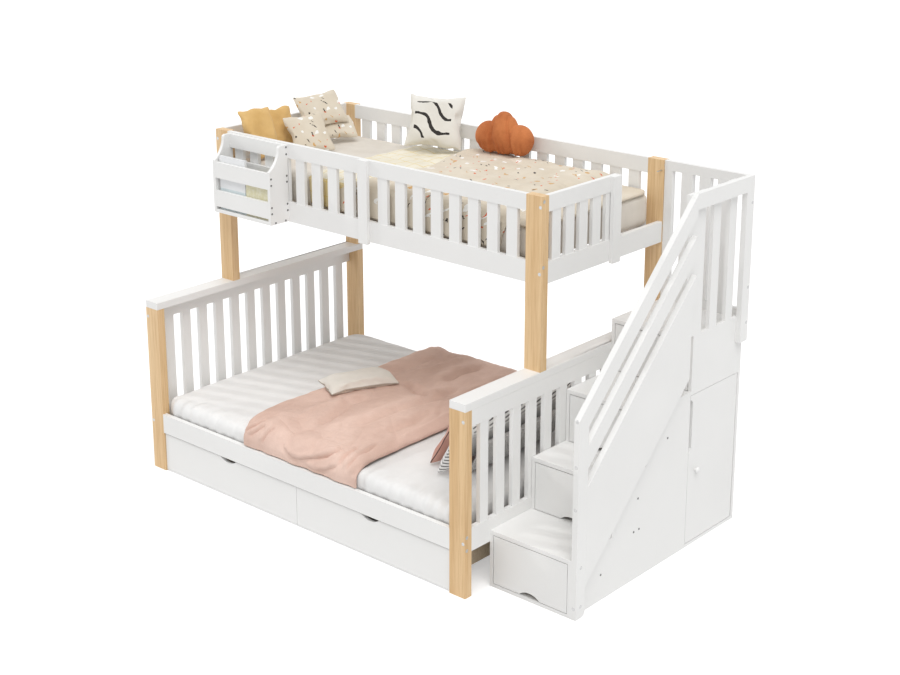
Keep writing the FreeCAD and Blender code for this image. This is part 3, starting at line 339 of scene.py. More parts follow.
def chip_layer(f, ground, cell, size, turn, stretch, colours, shift):
    """Scattered flat chips: one in each cell of a Voronoi pattern, some left out, each in one colour."""
    where = f.where((1 / cell, 1 / cell, 1), (0, 0, turn), uv=True)
    wobble = f.add("ShaderNodeTexNoise", noise_dimensions="2D")
    wobble.inputs["Scale"].default_value = 3.0
    f.link(where, wobble.inputs["Vector"])
    moved = f.add("ShaderNodeVectorMath", operation="MULTIPLY_ADD")
    moved.inputs[1].default_value = (0.35, 0.35, 0)
    f.link(wobble.outputs["Color"], moved.inputs[0])
    f.link(where, moved.inputs[2])
    stretched = f.add("ShaderNodeMapping")
    stretched.inputs["Scale"].default_value = stretch
    stretched.inputs["Location"].default_value = (shift, shift * 0.7, 0)
    f.link(moved.outputs["Vector"], stretched.inputs["Vector"])
    cells = f.add("ShaderNodeTexVoronoi", voronoi_dimensions="2D")
    cells.inputs["Scale"].default_value = 1.0
    cells.inputs["Randomness"].default_value = 0.75
    f.link(stretched.outputs["Vector"], cells.inputs["Vector"])
    inside = f.maths("LESS_THAN", cells.outputs["Distance"], size)
    red, _, _ = f.parts(cells.outputs["Color"])
    step = 1.0 / (len(colours) + 1)
    kept = f.maths("GREATER_THAN", red, step)
    stops = [(0.0, colours[0])] + [(step * (i + 1), c) for i, c in enumerate(colours)]
    chips = f.ramp(red, stops, constant=True)
    return f.mix(f.maths("MULTIPLY", inside, kept), ground, chips)


def chip_print(name, spread, start=None, end=None):
    """Beige cotton with scattered chips, dark dashes, rust dots and white petals.

    start, along the cloth, and end, across the bed, bound the print where they are given.
    """
    f = plain_cotton(name, (0.63, 0.55, 0.435), (0.70, 0.63, 0.52))
    plain = ground_of(f)
    dark = (0.035, 0.026, 0.02)
    rust = (0.66, 0.11, 0.025)
    white = (0.86, 0.85, 0.82)
    ochre = (0.58, 0.34, 0.13)
    layers = ((0.105, 0.125, 0.3, (1, 1, 1), (white, ochre, white), 3.1),
              (0.080, 0.072, 1.1, (1, 1, 1), (rust, dark, rust), 7.7),
              (0.115, 0.075, 0.7, (0.5, 2.4, 1), (dark, ochre), 1.3))
    ground = plain
    for cell, *chips in layers:
        ground = chip_layer(f, ground, cell * spread, *chips)
    if start is not None:
        run, _, _ = f.parts(f.where(uv=True))
        x, _, _ = f.parts(f.where())
        shown = f.maths("MULTIPLY", f.maths("GREATER_THAN", run, start), f.maths("LESS_THAN", x, end))
        ground = f.mix(shown, plain, ground)
    f.colour(ground)
    return f.material


MOTIF_TURN = 0.5
MOTIF_PITCH = 0.036
MOTIF_STROKE = 0.0165
MOTIF_SWING = 0.019
MOTIF_HALF_FIELD = (0.092, 0.088)


def line_motif(name):
    """Cream cotton with three thick dark brush waves across the middle."""
    f = plain_cotton(name, (0.71, 0.685, 0.63), (0.77, 0.75, 0.70))
    ground = ground_of(f)
    uv = f.where(turn=(0, 0, MOTIF_TURN), uv=True)
    u, v, _ = f.parts(uv)
    wobble = f.noise(uv, 9.0, 2.0)
    swing = f.maths("MULTIPLY", f.maths("SINE", f.maths("MULTIPLY", u, 34.0)), MOTIF_SWING)
    line = f.maths("ADD", v, f.maths("ADD", swing, f.maths("MULTIPLY", wobble, 0.035)))
    phase = f.maths("PINGPONG", line, MOTIF_PITCH)
    width = f.maths("MULTIPLY", f.noise(uv, 22.0, 2.0), MOTIF_STROKE)
    stroke = f.maths("LESS_THAN", phase, width)
    plain_u, plain_v, _ = f.parts(f.where(uv=True))
    near_u, near_v = (f.maths("LESS_THAN", f.maths("ABSOLUTE", axis), half)
                      for axis, half in zip((plain_u, plain_v), MOTIF_HALF_FIELD))
    mask = f.maths("MULTIPLY", stroke, f.maths("MULTIPLY", near_u, near_v))
    f.colour(f.mix(mask, ground, (0.022, 0.018, 0.016)))
    return f.material


LINING_LINE = 0.0019
LINING_PITCHES = (0.070, 0.082)
# Depth y of the lining's fold; the part hanging in front of it gets painted shade
LINING_FOLD_Y = FRONT + 0.548


def checked_lining(name):
    """Cream cotton with a loose hand-drawn grid of ochre lines, and painted shade darkening and yellowing it
    where it hangs.
    """
    f = plain_cotton(name, (0.73, 0.68, 0.55), (0.79, 0.745, 0.625))
    ground = ground_of(f)
    uv = f.where(turn=(0, 0, 0.12), uv=True)
    u, v, _ = f.parts(uv)
    wobble = f.maths("MULTIPLY", f.noise(uv, 4.0, 2.0), 0.03)
    for axis, pitch in zip((u, v), LINING_PITCHES):
        phase = f.maths("PINGPONG", f.maths("ADD", axis, wobble), pitch / 2)
        ground = f.mix(f.maths("LESS_THAN", phase, LINING_LINE), ground, (0.68, 0.52, 0.18))
    # Painted shade: the part hanging in front of the fold is mixed darker and yellower
    _, y, _ = f.parts(f.where())
    hanging = f.maths("LESS_THAN", y, LINING_FOLD_Y)
    f.colour(f.mix(hanging, ground, f.mix(0.62, ground, (0.66, 0.47, 0.13))))
    return f.material


# Share of a pillow's size that its cloth is cut to
CLOTH_CUT = 0.99


def rimmed(f, size, colour, band):
    """A thin line of another colour round a pillow's seam; size is in mm, band its width in metres."""
    u, v, _ = f.parts(f.where(uv=True))
    ground = ground_of(f)
    for axis, length in ((u, size[0]), (v, size[1])):
        edge = f.maths("GREATER_THAN", f.maths("ABSOLUTE", axis), length / 2000 * CLOTH_CUT - band)
        ground = f.mix(edge, ground, colour)
    f.colour(ground)
    return f.material


DASH_ROW = 0.0105
DASH_WIDTH = 0.0030
DASH_SLANT = 0.22
DASH_LENGTH = 0.055
DASH_GAP = 0.007


def dash_weave(name):
    """White cotton with rows of slanting black dashes."""
    f = plain_cotton(name, (0.86, 0.855, 0.84), (0.90, 0.895, 0.88))
    ground = ground_of(f)
    u, v, _ = f.parts(f.where(uv=True))
    slant = f.maths("ADD", v, f.maths("MULTIPLY", u, DASH_SLANT))
    phase = f.maths("PINGPONG", slant, DASH_ROW)
    dash = f.maths("LESS_THAN", phase, DASH_WIDTH)
    gap = f.maths("GREATER_THAN", f.maths("PINGPONG", u, DASH_LENGTH), DASH_GAP)
    f.colour(f.mix(f.maths("MULTIPLY", dash, gap), ground, (0.02, 0.02, 0.022)))
    return f.material


STITCH_WIDTH = 0.014
STITCH_HEIGHT = 0.0125


def chunky_knit(name):
    """Grey marl knit: rows of stitches, each a small pair of slanting loops, with painted shade in the
    hollows between them.
    """
    f = Finish(name, 0.92, Sheen_Weight=0.2)
    u, v, _ = f.parts(f.where(uv=True))
    zig = f.maths("PINGPONG", u, STITCH_WIDTH / 2)
    rows = f.maths("SINE", f.maths("MULTIPLY", f.maths("ADD", v, zig), math.tau / STITCH_HEIGHT))
    columns = f.maths("COSINE", f.maths("MULTIPLY", u, math.tau / STITCH_WIDTH))
    height = f.maths("ADD", rows, f.maths("MULTIPLY", columns, 0.6))
    marl = f.noise(f.where((260, 260, 1), uv=True), 1.0, 3.0)
    base = f.ramp(marl, [(0.38, (0.52, 0.515, 0.50)), (0.62, (0.84, 0.835, 0.82))])
    # Painted shade: darker where the stitch height is low, in the hollows between loops
    painted_shade = f.ramp(height, [(0.0, (0.72, 0.72, 0.72)), (1.0, (1, 1, 1))])
    f.colour(f.mix(1.0, base, painted_shade, "MULTIPLY"))
    f.bump(height, 0.8, 0.002)
    return f.material


# ---------------------------------------------------------------- mesh helpers

def mesh_piece(name, shape, material, smooth=True):
    """Turn a finished bmesh into a piece at the origin."""
    bmesh.ops.recalc_face_normals(shape, faces=shape.faces)
    mesh = bpy.data.meshes.new(name)
    shape.to_mesh(mesh)
    shape.free()
    for face in mesh.polygons:
        face.use_smooth = smooth
    mesh.materials.append(material)
    piece = bpy.data.objects.new(name, mesh)
    bpy.context.scene.collection.objects.link(piece)
    return piece


def add_modifier(piece, kind, **settings):
    made = piece.modifiers.new(kind.lower(), kind)
    for key, value in settings.items():
        setattr(made, key, value)
    return made


def settle(piece):
    """Apply every modifier on a piece."""
    graph = bpy.context.evaluated_depsgraph_get()
    mesh = bpy.data.meshes.new_from_object(piece.evaluated_get(graph))
    piece.modifiers.clear()
    piece.data = mesh


def finish_soft(piece, levels=1):
    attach(piece, "frame")
    if levels:
        add_modifier(piece, "SUBSURF", levels=levels, render_levels=levels)


def metre_uv(shape):
    """The grid's UV map, measured in metres from the middle."""
    layer = shape.loops.layers.uv.verify()
    for face in shape.faces:
        for loop in face.loops:
            loop[layer].uv = (loop.vert.co.x, loop.vert.co.y)


def set_order(shape):
    """Sort a mesh by place, so that the cloth simulation meets it in the same order each run."""
    def rank(spot):
        return round(spot.z * 1e4) * 1e10 + round(spot.x * 1e4) * 1e5 + round(spot.y * 1e4)

    shape.verts.sort(key=lambda vert: rank(vert.co))
    shape.edges.sort(key=lambda edge: rank((edge.verts[0].co + edge.verts[1].co) / 2))
    shape.faces.sort(key=lambda face: rank(face.calc_center_median()))
    for parts in (shape.verts, shape.edges, shape.faces):
        parts.index_update()


def flat_bag(width, height, thick, draw_in, step, crown):
    """Two layers of cloth sewn at the rim, a little fuller in the middle, sides drawn in between corners."""
    shape = bmesh.new()
    across = max(8, round(width / step))
    down = max(8, round(height / step))
    bmesh.ops.create_grid(shape, x_segments=across, y_segments=down, size=0.5, calc_uvs=True)
    bmesh.ops.scale(shape, vec=(width, height, 1), verts=shape.verts)
    metre_uv(shape)
    top_faces = list(shape.faces)
    bmesh.ops.solidify(shape, geom=top_faces, thickness=-0.004)
    set_order(shape)
    for vert in shape.verts:
        u = abs(vert.co.x) / (width / 2)
        v = abs(vert.co.y) / (height / 2)
        bulge = max(0.0, (1 - u ** crown) * (1 - v ** crown)) ** 0.6
        side = 1 if vert.co.z > 0.001 else -1
        vert.co.x *= 1 - draw_in * (1 - v * v) * u
        vert.co.y *= 1 - draw_in * (1 - u * u) * v
        vert.co.z = side * (0.0015 + thick / 2 * bulge)
    return shape


def inflate(piece, pressure, cap, mass=0.3, bending=0.6, shrink=-0.02, frames=20):
    """Swell a closed cloth piece with air for a few frames, then keep the shape."""
    rest = [v.co.copy() for v in piece.data.vertices]
    scene = bpy.context.scene
    cloth = add_modifier(piece, "CLOTH")
    settings = cloth.settings
    settings.quality = 5
    settings.mass = mass
    settings.tension_stiffness = 12
    settings.compression_stiffness = 12
    settings.shear_stiffness = 6
    settings.bending_stiffness = bending
    settings.use_pressure = True
    settings.uniform_pressure_force = pressure
    settings.shrink_min = shrink
    settings.effector_weights.gravity = 0.0
    cloth.collision_settings.use_collision = False
    cloth.point_cache.frame_start = 1
    cloth.point_cache.frame_end = frames
    for step in range(1, frames + 1):
        scene.frame_set(step)
    settle(piece)
    scene.frame_set(1)
    for vert, start in zip(piece.data.vertices, rest):
        moved = vert.co - start
        if moved.length > cap:
            vert.co = start + moved.normalized() * cap


def fit_box(piece, size):
    """Scale a piece about its middle so that it fills a box of this size."""
    spots = [v.co for v in piece.data.vertices]
    for axis in range(3):
        low = min(c[axis] for c in spots)
        high = max(c[axis] for c in spots)
        middle = (low + high) / 2
        for c in spots:
            c[axis] = (c[axis] - middle) * size[axis] / (high - low)


def pillow_turn(yaw, lean, turn):
    """The turns that the source gives a pillow, which starts lying flat."""
    own = Matrix.Rotation(math.radians(turn), 4, "Z")
    up = Matrix.Rotation(math.radians(90 - lean), 4, "X")
    plan = Matrix.Rotation(math.radians(yaw + 90), 4, "Z")
    return plan @ up @ own


def outward_of(piece):
    """Each point's outward direction, kept before any point moves."""
    return [vert.normal.copy() for vert in piece.data.vertices]


def crease(piece, depth, scale, seed):
    """Small uneven wrinkles."""
    for vert, outward in zip(piece.data.vertices, outward_of(piece)):
        spot = vert.co * scale + Vector((seed, seed * 0.37, 0))
        rise = noise.fractal(spot, 0.9, 2.1, 3)
        vert.co += outward * rise * depth


PILLOW_DRAW_IN = -0.034
PILLOW_PRESSURE = 2.6


def pillow(name, centre, yaw, lean, turn, size, material, slot, fill, step=0.011, seed=1.0, sunk=1.0,
           crown=4.0, wrinkle=0.0065):
    """A stuffed pillow, swelled from a flat bag.

    sunk flattens its back, and a low crown makes a dome of it.
    """
    width, height, thick = (length / 1000 for length in size)
    shape = flat_bag(width * CLOTH_CUT, height * CLOTH_CUT, thick * 0.62, PILLOW_DRAW_IN, step, crown)
    piece = mesh_piece(name, shape, material)
    inflate(piece, PILLOW_PRESSURE, thick * 0.30)
    crease(piece, wrinkle, 9.0, seed)
    for vert in piece.data.vertices:
        if vert.co.z < 0:
            vert.co.z *= sunk
    fit_box(piece, (width * 1.01, height * 1.01, thick))
    piece.data.transform(Matrix.Translation(place(*centre)) @ pillow_turn(yaw, lean, turn))
    finish_soft(piece)
    return piece


# ---------------------------------------------------------------- bedding

# Each pillow: its middle in mm, yaw, lean and turn in degrees, and its size in mm
PLAIN = (((165, 652, 1668), -4, 22, 1, (200, 268, 74)), ((98, 852, 1655), -4, 22, 0, (190, 229, 66)))
PRINTED = (((127, 1121, 1719), -10, 38, 3, (275, 202, 50)), ((246, 918, 1636), -18, 38, 3, (228, 226, 60)),
           ((172, 1189, 1620), -12, 50, -6, (222, 156, 50)))
MOTIF_CUSHION = ((787, 1299, 1714), -68.5, 22, 0, (308, 280, 92))
LYING_CUSHION = ((786, 708, 469), -23, 88, 0, (370, 205, 72))
FOOT = (((1722, 545, 525), 180, 30, 0, (490, 300, 76)), ((1722, 1030, 525), 180, 30, 0, (460, 300, 76)),
        ((1818, 655, 525), 180, 30, 0, (850, 300, 76)), ((1886, 655, 478), 180, 30, 0, (620, 200, 70)))


def pillow_row(name, rows, fabrics, slot, seed, **shape):
    """Pillows of one kind; the first is returned."""
    made = [pillow("%s_%d" % (name, i + 1), *numbers, fabric, slot, 0.7, seed=seed + i, **shape)
            for i, (numbers, fabric) in enumerate(zip(rows, fabrics))]
    return made[0]


def throw_pillows():
    mustard = plain_cotton("mustard_cotton", (0.62, 0.385, 0.135), (0.75, 0.50, 0.21)).material
    chips = chip_print("chip_print_small", 0.72)
    first = pillow_row("pillow_plain", PLAIN, [mustard] * len(PLAIN), "mustard_cotton", 3.0, wrinkle=0.011)
    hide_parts("pillows_plain")
    first = pillow_row("pillow_printed", PRINTED, [chips] * len(PRINTED), "chip_print", 7.0)
    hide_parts("pillows_printed")
    motif = pillow("cushion_line_motif", *MOTIF_CUSHION, line_motif("line_motif_cotton"), "cream_cotton",
                   0.75, seed=12.0)
    linen = plain_cotton("cream_linen", (0.74, 0.70, 0.635), (0.81, 0.775, 0.715))
    cream = rimmed(linen, LYING_CUSHION[4], (0.42, 0.37, 0.31), 0.0035)
    pillow("cushion_lying", *LYING_CUSHION, cream, "cream_cotton", 0.7, seed=15.0, sunk=0.45, crown=2.2)
    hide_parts("cushions_square")
    pink = short_pile("pink_plush", (0.50, 0.26, 0.205), (0.62, 0.36, 0.295))
    pink = rimmed(pink, FOOT[0][4], (0.02, 0.018, 0.018), 0.001)
    rust = short_pile("rust_plush", (0.56, 0.20, 0.05), (0.68, 0.29, 0.09)).material
    fabrics = (pink, rust, dash_weave("dash_weave"), chunky_knit("grey_knit"))
    first = pillow_row("cushion_foot", FOOT, fabrics, "foot_cushion_fabric", 21.0, step=0.016)
    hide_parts("cushions_foot")


LOBED_MIDDLE = (1222, 1329)
LOBED_BASE = 1608
LOBED_TURN = 10
LOBED_VOXEL = 0.0045
GATHER_DEPTH = 0.0042
# Each lobe: how far along, how high, half its width and half its height, in mm
LOBES = ((-84, 76, 80, 84), (92, 72, 78, 84), (0, 100, 84, 116))


def lobed_cushion():
    """Three rounded lobes pressed together, gathered to a short seam at the base."""
    shape = bmesh.new()
    for along, rise, half_width, half_height in LOBES:
        made = bmesh.ops.create_uvsphere(shape, u_segments=32, v_segments=20, radius=1.0)["verts"]
        size = (half_width * 0.94 / 1000, half_width * 0.80 / 1000, half_height * 0.985 / 1000)
        bmesh.ops.scale(shape, vec=size, verts=made)
        bmesh.ops.translate(shape, vec=(along / 1000, 0, rise / 1000), verts=made)
    piece = mesh_piece("cushion_three_lobes", shape,
                       short_pile("orange_velvet", (0.44, 0.125, 0.035), (0.62, 0.21, 0.07), 9.0).material)
    add_modifier(piece, "REMESH", mode="VOXEL", voxel_size=LOBED_VOXEL, use_smooth_shade=True)
    add_modifier(piece, "SMOOTH", factor=0.5, iterations=3)
    settle(piece)
    for vert, outward in zip(piece.data.vertices, outward_of(piece)):
        c = vert.co
        seam = min(abs(c.x + 0.048 - 0.12 * (c.z - 0.1)), abs(c.x - 0.052 + 0.16 * (c.z - 0.1)))
        c -= outward * 0.0095 * math.exp(-(seam / 0.0075) ** 2)
        low = max(0.0, 1 - c.z / 0.085)
        c.z = max(c.z, 0.0015)
        pull = 0.30 * low * low
        c.x *= 1 - pull * 0.35
        c.y *= 1 - pull
        gather = math.sin(c.x * 190 + 1.3 * math.sin(c.x * 61)) * GATHER_DEPTH * min(1.0, low * 1.6)
        c.y += gather * (1 if c.y > 0 else -1)
    for face in piece.data.polygons:
        face.use_smooth = True
    turned = Matrix.Rotation(math.radians(LOBED_TURN), 4, "Z")
    piece.data.transform(Matrix.Translation(place(*LOBED_MIDDLE, LOBED_BASE)) @ turned)
    finish_soft(piece)
    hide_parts("cushion_lobed")


def rounded(t):
    """A share eased at both ends."""
    return t * t * (3 - 2 * t)


def valley(x, y, seed, sharp):
    """Narrow valleys that follow the zero lines of a smooth noise."""
    return (1 - abs(noise.noise(Vector((x, y, seed))))) ** sharp


MATTRESS_VOXEL = 0.0125


def mattress(name, node_name, fabric, edge, corner, wrinkle_rows):
    """Mattress in its fitted sheet, with soft rolled edges.

    Each wrinkle row is the depth y it lies at, its reach, how closely its wrinkles follow and their depth.
    """
    low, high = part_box(node_name)
    size = high - low
    shape = bmesh.new()
    bmesh.ops.create_cube(shape, size=1.0)
    bmesh.ops.scale(shape, vec=size, verts=shape.verts)
    bmesh.ops.translate(shape, vec=(low + high) / 2, verts=shape.verts)
    upright = [e for e in shape.edges if abs(e.verts[0].co.z - e.verts[1].co.z) > size.z / 2]
    bmesh.ops.bevel(shape, geom=upright, offset=corner, segments=6, profile=0.5, affect="EDGES", material=-1)
    level = [e for e in shape.edges if abs(e.verts[0].co.z - e.verts[1].co.z) < 0.001
             and abs(e.calc_face_angle(0)) > 0.8]
    bmesh.ops.bevel(shape, geom=level, offset=edge, segments=5, profile=0.5, affect="EDGES", material=-1)
    piece = mesh_piece(name, shape, fabric)
    add_modifier(piece, "REMESH", mode="VOXEL", voxel_size=MATTRESS_VOXEL, use_smooth_shade=True)
    settle(piece)
    for vert, outward in zip(piece.data.vertices, outward_of(piece)):
        c = vert.co.copy()
        top = rounded(min(1.0, max(0.0, (c.z - low.z) / size.z * 2 - 0.9)))
        across = noise.noise(Vector((c.x * 5.5, c.y * 1.5, 3.0))) * 0.5
        folds = 0.0
        for centre_y, reach, count, depth in wrinkle_rows:
            nearness = max(0.0, 1 - abs(c.y - centre_y) / reach)
            wander = 2.4 * noise.noise(Vector((c.x * 2.2, c.y * 2.2, 7.0)))
            skew = c.x * count + (c.y - centre_y) * 3.0 + wander
            folds += math.sin(skew) * depth * rounded(nearness)
        ripple = noise.fractal(c * 6.0, 0.9, 2.0, 3) * 0.0025
        rise = (ripple + folds) * (0.35 + 0.65 * top) - 0.002
        vert.co = c + outward * rise + Vector((0, 0, across * 0.002 * top))
    for face in piece.data.polygons:
        face.use_smooth = True
    finish_soft(piece, levels=0)
    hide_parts(node_name)


# The blanket's sides and width in mm; the rest in metres, up from the floor or along the cloth from its hem
BLANKET_LEFT = 645
BLANKET_RIGHT = 1430
BLANKET_WIDTH = BLANKET_RIGHT - BLANKET_LEFT
SHEET_TOP = 0.385
HEM_BOTTOM = 0.314
BLANKET_DROP = 0.031
BLANKET_BEND = 0.130
BLANKET_LENGTH = 1.497
BLANKET_THICK = 0.009
FOLD_STRENGTH = 2.0

# Folds of the blanket: points (x, distance up the cloth from its hem) in mm, width, depth;
# a depth below 0 stands up
BLANKET_FOLDS = (
    (((935, 95), (965, 50), (1040, 26), (1095, 30), (1185, 62), (1245, 90), (1285, 135), (1280, 205)),
     9, 9.0),
    (((1105, 14), (1190, 6), (1265, 25), (1345, 78)), 9, 6.0),
    (((1330, 60), (1333, 150), (1328, 240)), 8, 6.0),
    (((1380, 50), (1394, 125), (1390, 215), (1372, 320)), 8, 6.5),
    (((1430, 45), (1442, 105), (1440, 200)), 8, 5.0),
    (((685, 60), (742, 112), (780, 170)), 8, 6.0),
    (((730, 45), (775, 92), (812, 125)), 8, 5.5),
    (((815, 30), (845, 92), (872, 140)), 8, 5.5),
    (((888, 240), (846, 444), (880, 600)), 30, -6.0),
    (((1015, 250), (965, 430), (920, 580), (945, 740)), 24, 8.0),
    (((1140, 300), (1153, 494), (1150, 696), (1200, 934), (1205, 1100)), 28, 9.0),
    (((1436, 360), (1394, 492), (1395, 608), (1382, 730), (1360, 860)), 18, -7.0),
    (((1300, 420), (1310, 620), (1280, 800)), 20, 5.0),
    (((915, 960), (1044, 925), (1170, 890)), 22, 8.0),
    (((760, 1000), (780, 1200), (770, 1400)), 26, 7.0),
    (((860, 1060), (925, 1275), (925, 1440)), 28, -7.0),
    (((1080, 1080), (1060, 1260), (1090, 1430)), 26, 8.0),
    (((1290, 1000), (1330, 1200), (1310, 1420)), 28, 7.0),
)


def fold_height(x, s, line, width, depth):
    """Height that one fold gives a point: a valley with the cloth pushed up on one side of it."""
    nearest = 1e9
    beside = 0.0
    where = 0.0
    for i, ((ax, ay), (bx, by)) in enumerate(zip(line, line[1:])):
        dx, dy = bx - ax, by - ay
        share = min(1.0, max(0.0, ((x - ax) * dx + (s - ay) * dy) / (dx * dx + dy * dy)))
        ox, oy = x - ax - share * dx, s - ay - share * dy
        away = math.hypot(ox, oy)
        if away < nearest:
            nearest = away
            beside = away if dx * oy - dy * ox > 0 else -away
            where = (i + share) / (len(line) - 1)
    if nearest > width * 5:
        return 0.0
    taper = rounded(min(1.0, 5 * where, 5 * (1 - where)))
    dip = math.exp(-(nearest / width) ** 2)
    swell = math.exp(-((beside - 2.1 * width) / (1.3 * width)) ** 2)
    return depth * taper * (0.55 * swell - dip)


def blanket_outline(y):
    """The blanket's left and right edges at a depth y, both drawn to the right near the front."""
    pull = max(0.0, 1 - y / 0.185) ** 1.4
    left = BLANKET_LEFT + 56 * pull + 5 * noise.noise(Vector((y * 7, 0.0, 4.0)))
    right = BLANKET_RIGHT + 26 * pull + 5 * noise.noise(Vector((y * 6, 9.0, 4.0)))
    return left / 1000, right / 1000


def blanket():
    """Thick soft blanket across the bed: folds along it, creases by the front, and a rounded front."""
    shape = bmesh.new()
    bmesh.ops.create_grid(shape, x_segments=130, y_segments=250, size=0.5, calc_uvs=True)
    bmesh.ops.scale(shape, vec=(BLANKET_WIDTH / 1000, BLANKET_LENGTH, 1), verts=shape.verts)
    for vert in shape.verts:
        share = vert.co.y / BLANKET_LENGTH + 0.5
        vert.co.y = (share ** 1.25 - 0.5) * BLANKET_LENGTH
    metre_uv(shape)
    for vert in shape.verts:
        u = vert.co.x * 1000 / BLANKET_WIDTH + 0.5
        along = vert.co.y + BLANKET_LENGTH / 2
        past = max(0.0, along - BLANKET_DROP)
        bend = min(1.0, past / BLANKET_BEND) * math.pi / 2
        y = 0.0135 + (1 - math.cos(bend)) * 0.082 + max(0.0, past - BLANKET_BEND) * 0.9985
        left, right = blanket_outline(y)
        x = left + u * (right - left)
        edge = min(1.0, min(x - left, right - x) / 0.05)
        edge = math.sqrt(max(0.0, 1 - (1 - edge) ** 2))
        front = max(0.0, 1 - y / 0.36)
        wander = 0.35 * noise.noise(Vector((x * 1.7, y * 1.3, 6.0)))
        folds = 0.016 * noise.noise(Vector(((x + wander * 0.25) * 7.0, y * 1.1, 1.0)))
        swell = 0.009 * noise.noise(Vector((x * 2.6, y * 2.2, 2.0)))
        creases = -0.009 * valley((x + wander * 0.4) * 4.2 + y * 2.0, y * 3.2 + wander, 3.0, 9)
        creases *= 0.35 + front
        pinch = -0.006 * valley(x * 9.0 - y * 6.0, y * 12.0 + x * 3.0, 5.0, 6) * front
        small = 0.0034 * noise.fractal(Vector((x * 16, y * 16, 2.0)), 0.9, 2.0, 3)
        made = sum(fold_height(x * 1000, along * 1000, *fold) for fold in BLANKET_FOLDS) / 1000
        lift = (folds + swell + creases + pinch) * math.sin(bend) + small + made * FOLD_STRENGTH
        lift = min(0.019, max(lift, -0.002 - 0.024 * math.sin(bend))) * (0.25 + 0.75 * edge)
        wave = 0.0035 * math.sin(x * 41 + 3 * noise.noise(Vector((x * 6, 0.0, 0.0)))) * math.cos(bend)
        y = max(0.0068, y - (lift - wave) * math.cos(bend))
        z = HEM_BOTTOM + min(along, BLANKET_DROP)
        z += math.sin(bend) * (0.053 + 0.036 * edge) + lift * math.sin(bend)
        z -= max(0.0, 1 - (1.424 - y) * 22) * 0.014
        if past > BLANKET_BEND * 0.8:
            z = max(z, SHEET_TOP + 0.002)
        vert.co = place(x * 1000, y * 1000, z * 1000)
    pile = short_pile("dusty_pink_pile", (0.66, 0.455, 0.375), (0.82, 0.605, 0.515), 4.0).material
    piece = mesh_piece("blanket", shape, pile)
    add_modifier(piece, "SOLIDIFY", thickness=BLANKET_THICK, offset=0.0, use_rim=True)
    finish_soft(piece, levels=0)
    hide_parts("blanket_lower")


# The duvet, in mm: depth y, x of the folded lining's left edge, x of the full part's left edge
LINING_COLUMN = 1
FULL_COLUMN = 2
DUVET_EDGE = ((547, 640, 905), (640, 602, 965), (900, 578, 1050), (1160, 577, 972), (1330, 583, 921),
              (1404, 590, 900))
COVER_BASE = 1532.0
DUVET_END = 2064
# The front flap hangs behind the guard: its depth y, and its hem's height at each x towards the post
FLAP_Y = 537
FLAP_BY_POST = 548
FLAP_BOTTOM = ((1846, 1404), (1862, 1470), (1890, 1524))
FLAP_LOWEST = 1391.0
FLAP_LENGTH = 140
FLAP_SHARE = 0.13
# Past this x the duvet lies flat and plain
FULL_END = 1885
END_CORNER = 85.0
COVER_BEND = 26.0
PRINT_START = 0.062
PRINT_END = (FULL_END - 1298) / 1000


def between(rows, key, column):
    """A value read off rows of numbers by their first one."""
    if key <= rows[0][0]:
        return rows[0][column]
    for low, high in zip(rows, rows[1:]):
        if key <= high[0]:
            share = (key - low[0]) / (high[0] - low[0])
            return low[column] + (high[column] - low[column]) * share
    return rows[-1][column]


